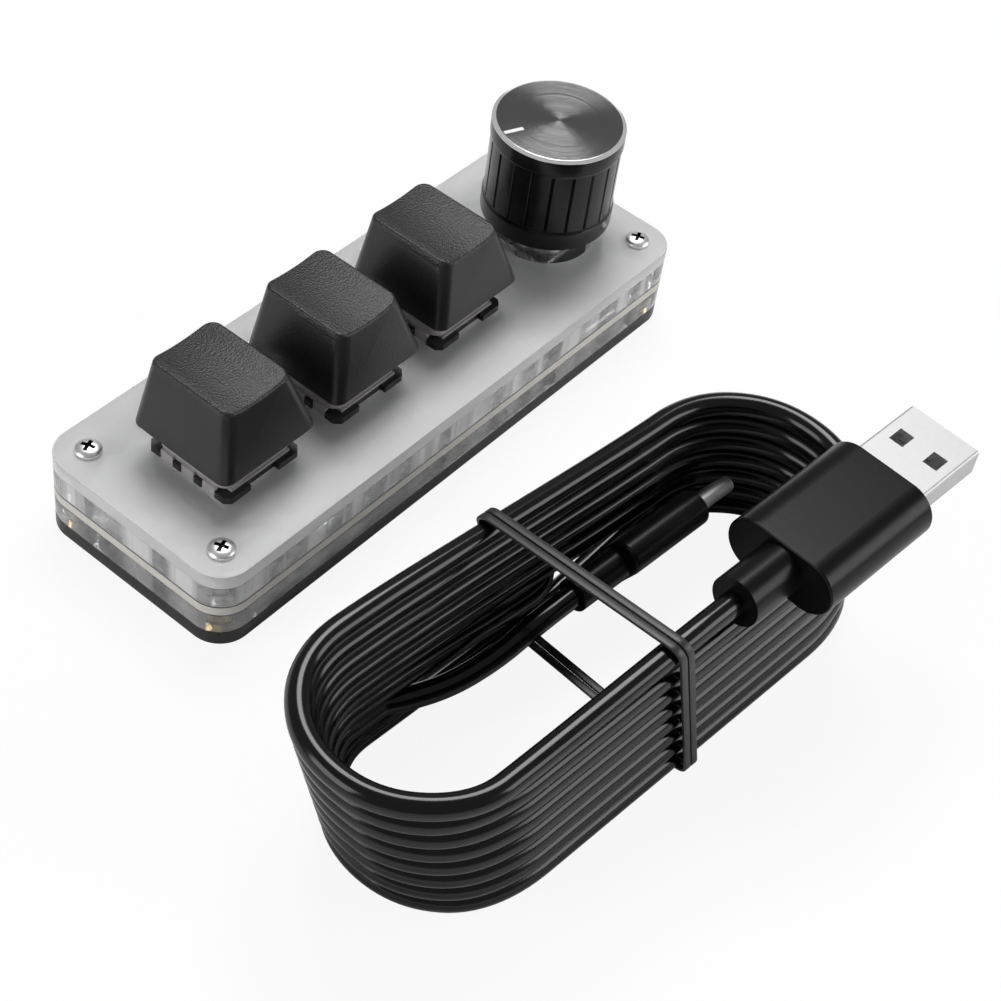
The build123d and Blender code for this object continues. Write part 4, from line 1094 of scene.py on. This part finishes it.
# The pinkish diffuse share is partly the housing's own milkiness and partly painted light: it brightens the
# clear legs, and its pink is a painted reflection.
haze_and_painted_light = cover.node("ShaderNodeBsdfDiffuse", None, {"Color": (0.80, 0.76, 0.77, 1)})
cover.cover(0.28 + 0.20 * cloud, haze_and_painted_light)
for number in (1, 2, 3):
    dress(nodes[f"switch_{number}_cover"], cover)

black_sheet = Finish("acrylic_black", Specular_IOR_Level=0.5)
sawn = black_sheet.noise(1200.0, detail=3.0, stretch=(1, 1, 0.06))
black_sheet.set(
    Base_Color=black_sheet.blend(sawn, grey(0.010), grey(0.035)),
    Roughness=0.18 + 0.25 * sawn,
    Normal=black_sheet.bump(sawn, 0.25, 0.06 * MM),
)
dress(base_sheet, black_sheet)
print("acrylic dressed")

# %% [markdown]
# ## Board and metals
# The circuit board is sandy glass-fibre. Its upper face is lacquered white, since the frosted sheet above
# it looks light everywhere but round the black switches. A dark band of painted shade runs along the top of
# its sawn edge and a thinner one along the bottom, where the frames meet it, and the same dark covers its
# lower face. The metals differ by colour and polish: nickel screws and plug shells, brass standoffs, zinc
# bracket, steel springs, gilt contacts in the switches and dull tin ones in the large plug; the screws'
# cross recesses are painted dark, painted shade. The encoder's base is plastic, blue-green along its right
# and far sides and black elsewhere.

# %% Board
board = Finish("board_laminate", Specular_IOR_Level=0.5)
z = board.axes()[2]
# The mask holds the white lacquered face and the dark bands of painted shade along the top and bottom of the
# sawn edge; the lower face takes the same dark.
lacquer_and_painted_shade = (z > board_top - 0.25 * MM) + (z < board_bottom + 0.1 * MM)
face = z > board_top - 0.005 * MM
fibre = board.noise(900.0, detail=4.0, stretch=(1, 1, 5))
edge_colour = board.blend(fibre, (0.48, 0.46, 0.42, 1), (0.72, 0.70, 0.66, 1))
board.set(
    Base_Color=board.blend(lacquer_and_painted_shade - face, board.blend(face, edge_colour, grey(0.74)), grey(0.012)),
    Roughness=0.55 - 0.2 * lacquer_and_painted_shade,
    Normal=board.bump((1 - lacquer_and_painted_shade) * fibre, 0.3, 0.05 * MM),
)
dress(nodes["circuit_board"], board)
tan = Finish("passive_tan", Roughness=0.5)
tan.set(Base_Color=tan.blend(tan.noise(1500.0), (0.42, 0.30, 0.18, 1), (0.60, 0.48, 0.32, 1)))
dress(nodes["board_passives"], tan)
print("board dressed")

# %% Metals
def metal(name, dark, light, roughness, scale):
    """A metal whose colour and polish drift between two levels."""
    made = Finish(name, Metallic=1.0)
    drift = made.noise(scale, detail=3.0)
    made.set(
        Base_Color=made.blend(drift, dark, light),
        Roughness=roughness + 0.12 * drift,
        Normal=made.bump(drift, 0.08, 0.03 * MM),
    )
    return made


nickel = metal("screw_nickel", grey(0.88), grey(0.97), 0.26, 1500.0)
plug_metal = metal("plug_nickel", grey(0.50), grey(0.58), 0.46, 1200.0)
tin = metal("contact_tin", grey(0.46), grey(0.56), 0.55, 1200.0)
brass = metal("brass", (0.62, 0.42, 0.16, 1), (0.78, 0.56, 0.26, 1), 0.22, 1500.0)
zinc = metal("zinc_bracket", grey(0.62), grey(0.82), 0.22, 900.0)
steel = metal("spring_steel", grey(0.50), grey(0.70), 0.25, 2000.0)
gold = metal("contact_gold", (0.75, 0.55, 0.22, 1), (0.88, 0.68, 0.32, 1), 0.25, 2000.0)
teal = Finish("encoder_teal", Specular_IOR_Level=0.5, Roughness=0.4)
x, y, _ = teal.axes()
core_share = (x < knob_centre[0] + 5.4 * MM) * (y < knob_centre[1] + 5.2 * MM)
tinted = teal.blend(teal.noise(700.0), (0.010, 0.16, 0.20, 1), (0.02, 0.24, 0.29, 1))
teal.set(Base_Color=teal.blend(core_share, tinted, grey(0.015)))
# The cross recess gets a near-black metal, painted shade in the hollow of the cross.
painted_recess_shade = metal("screw_recess_painted_shade", grey(0.02), grey(0.06), 0.45, 1500.0)
dress(screw, nickel, painted_recess_shade)
recess_bottom, recess_top, recess_radius = 14.65 * MM, 15.52 * MM, 1.15 * MM
for face in screw.data.polygons:
    from_middle = min((face.center.xy - Vector(place)).length for place in screw_places)
    deep = recess_bottom < face.center.z < recess_top
    face.material_index = int(deep and from_middle < recess_radius)
print("recess faces", sum(face.material_index for face in screw.data.polygons))
for name, coat in (
    ("standoffs", brass), ("base_screws", nickel), ("encoder_bracket", zinc), ("encoder_bushing", zinc),
    ("encoder_shaft", zinc), ("encoder_pins", nickel), ("encoder_base", teal),
    ("usb_socket_shell", plug_metal), ("usb_a_shell", plug_metal), ("usb_c_shell", plug_metal),
    ("usb_a_contacts", tin),
):
    dress(nodes[name], coat)
for number in (1, 2, 3):
    dress(nodes[f"switch_{number}_contacts"], gold)
for piece in (*springs, dome):
    dress(piece, steel)
print("metals dressed")

# %% What is on the lead
lead_pieces = [nodes[name] for name in (
    "usb_a_grip", "usb_a_shell", "usb_a_insert", "usb_a_contacts", "usb_c_grip", "usb_c_shell",
)] + [tie]
print("pieces on the lead", len(lead_pieces))

# %% [markdown]
# ## Last step
# The view layer is brought up to date.

bpy.context.view_layer.update()
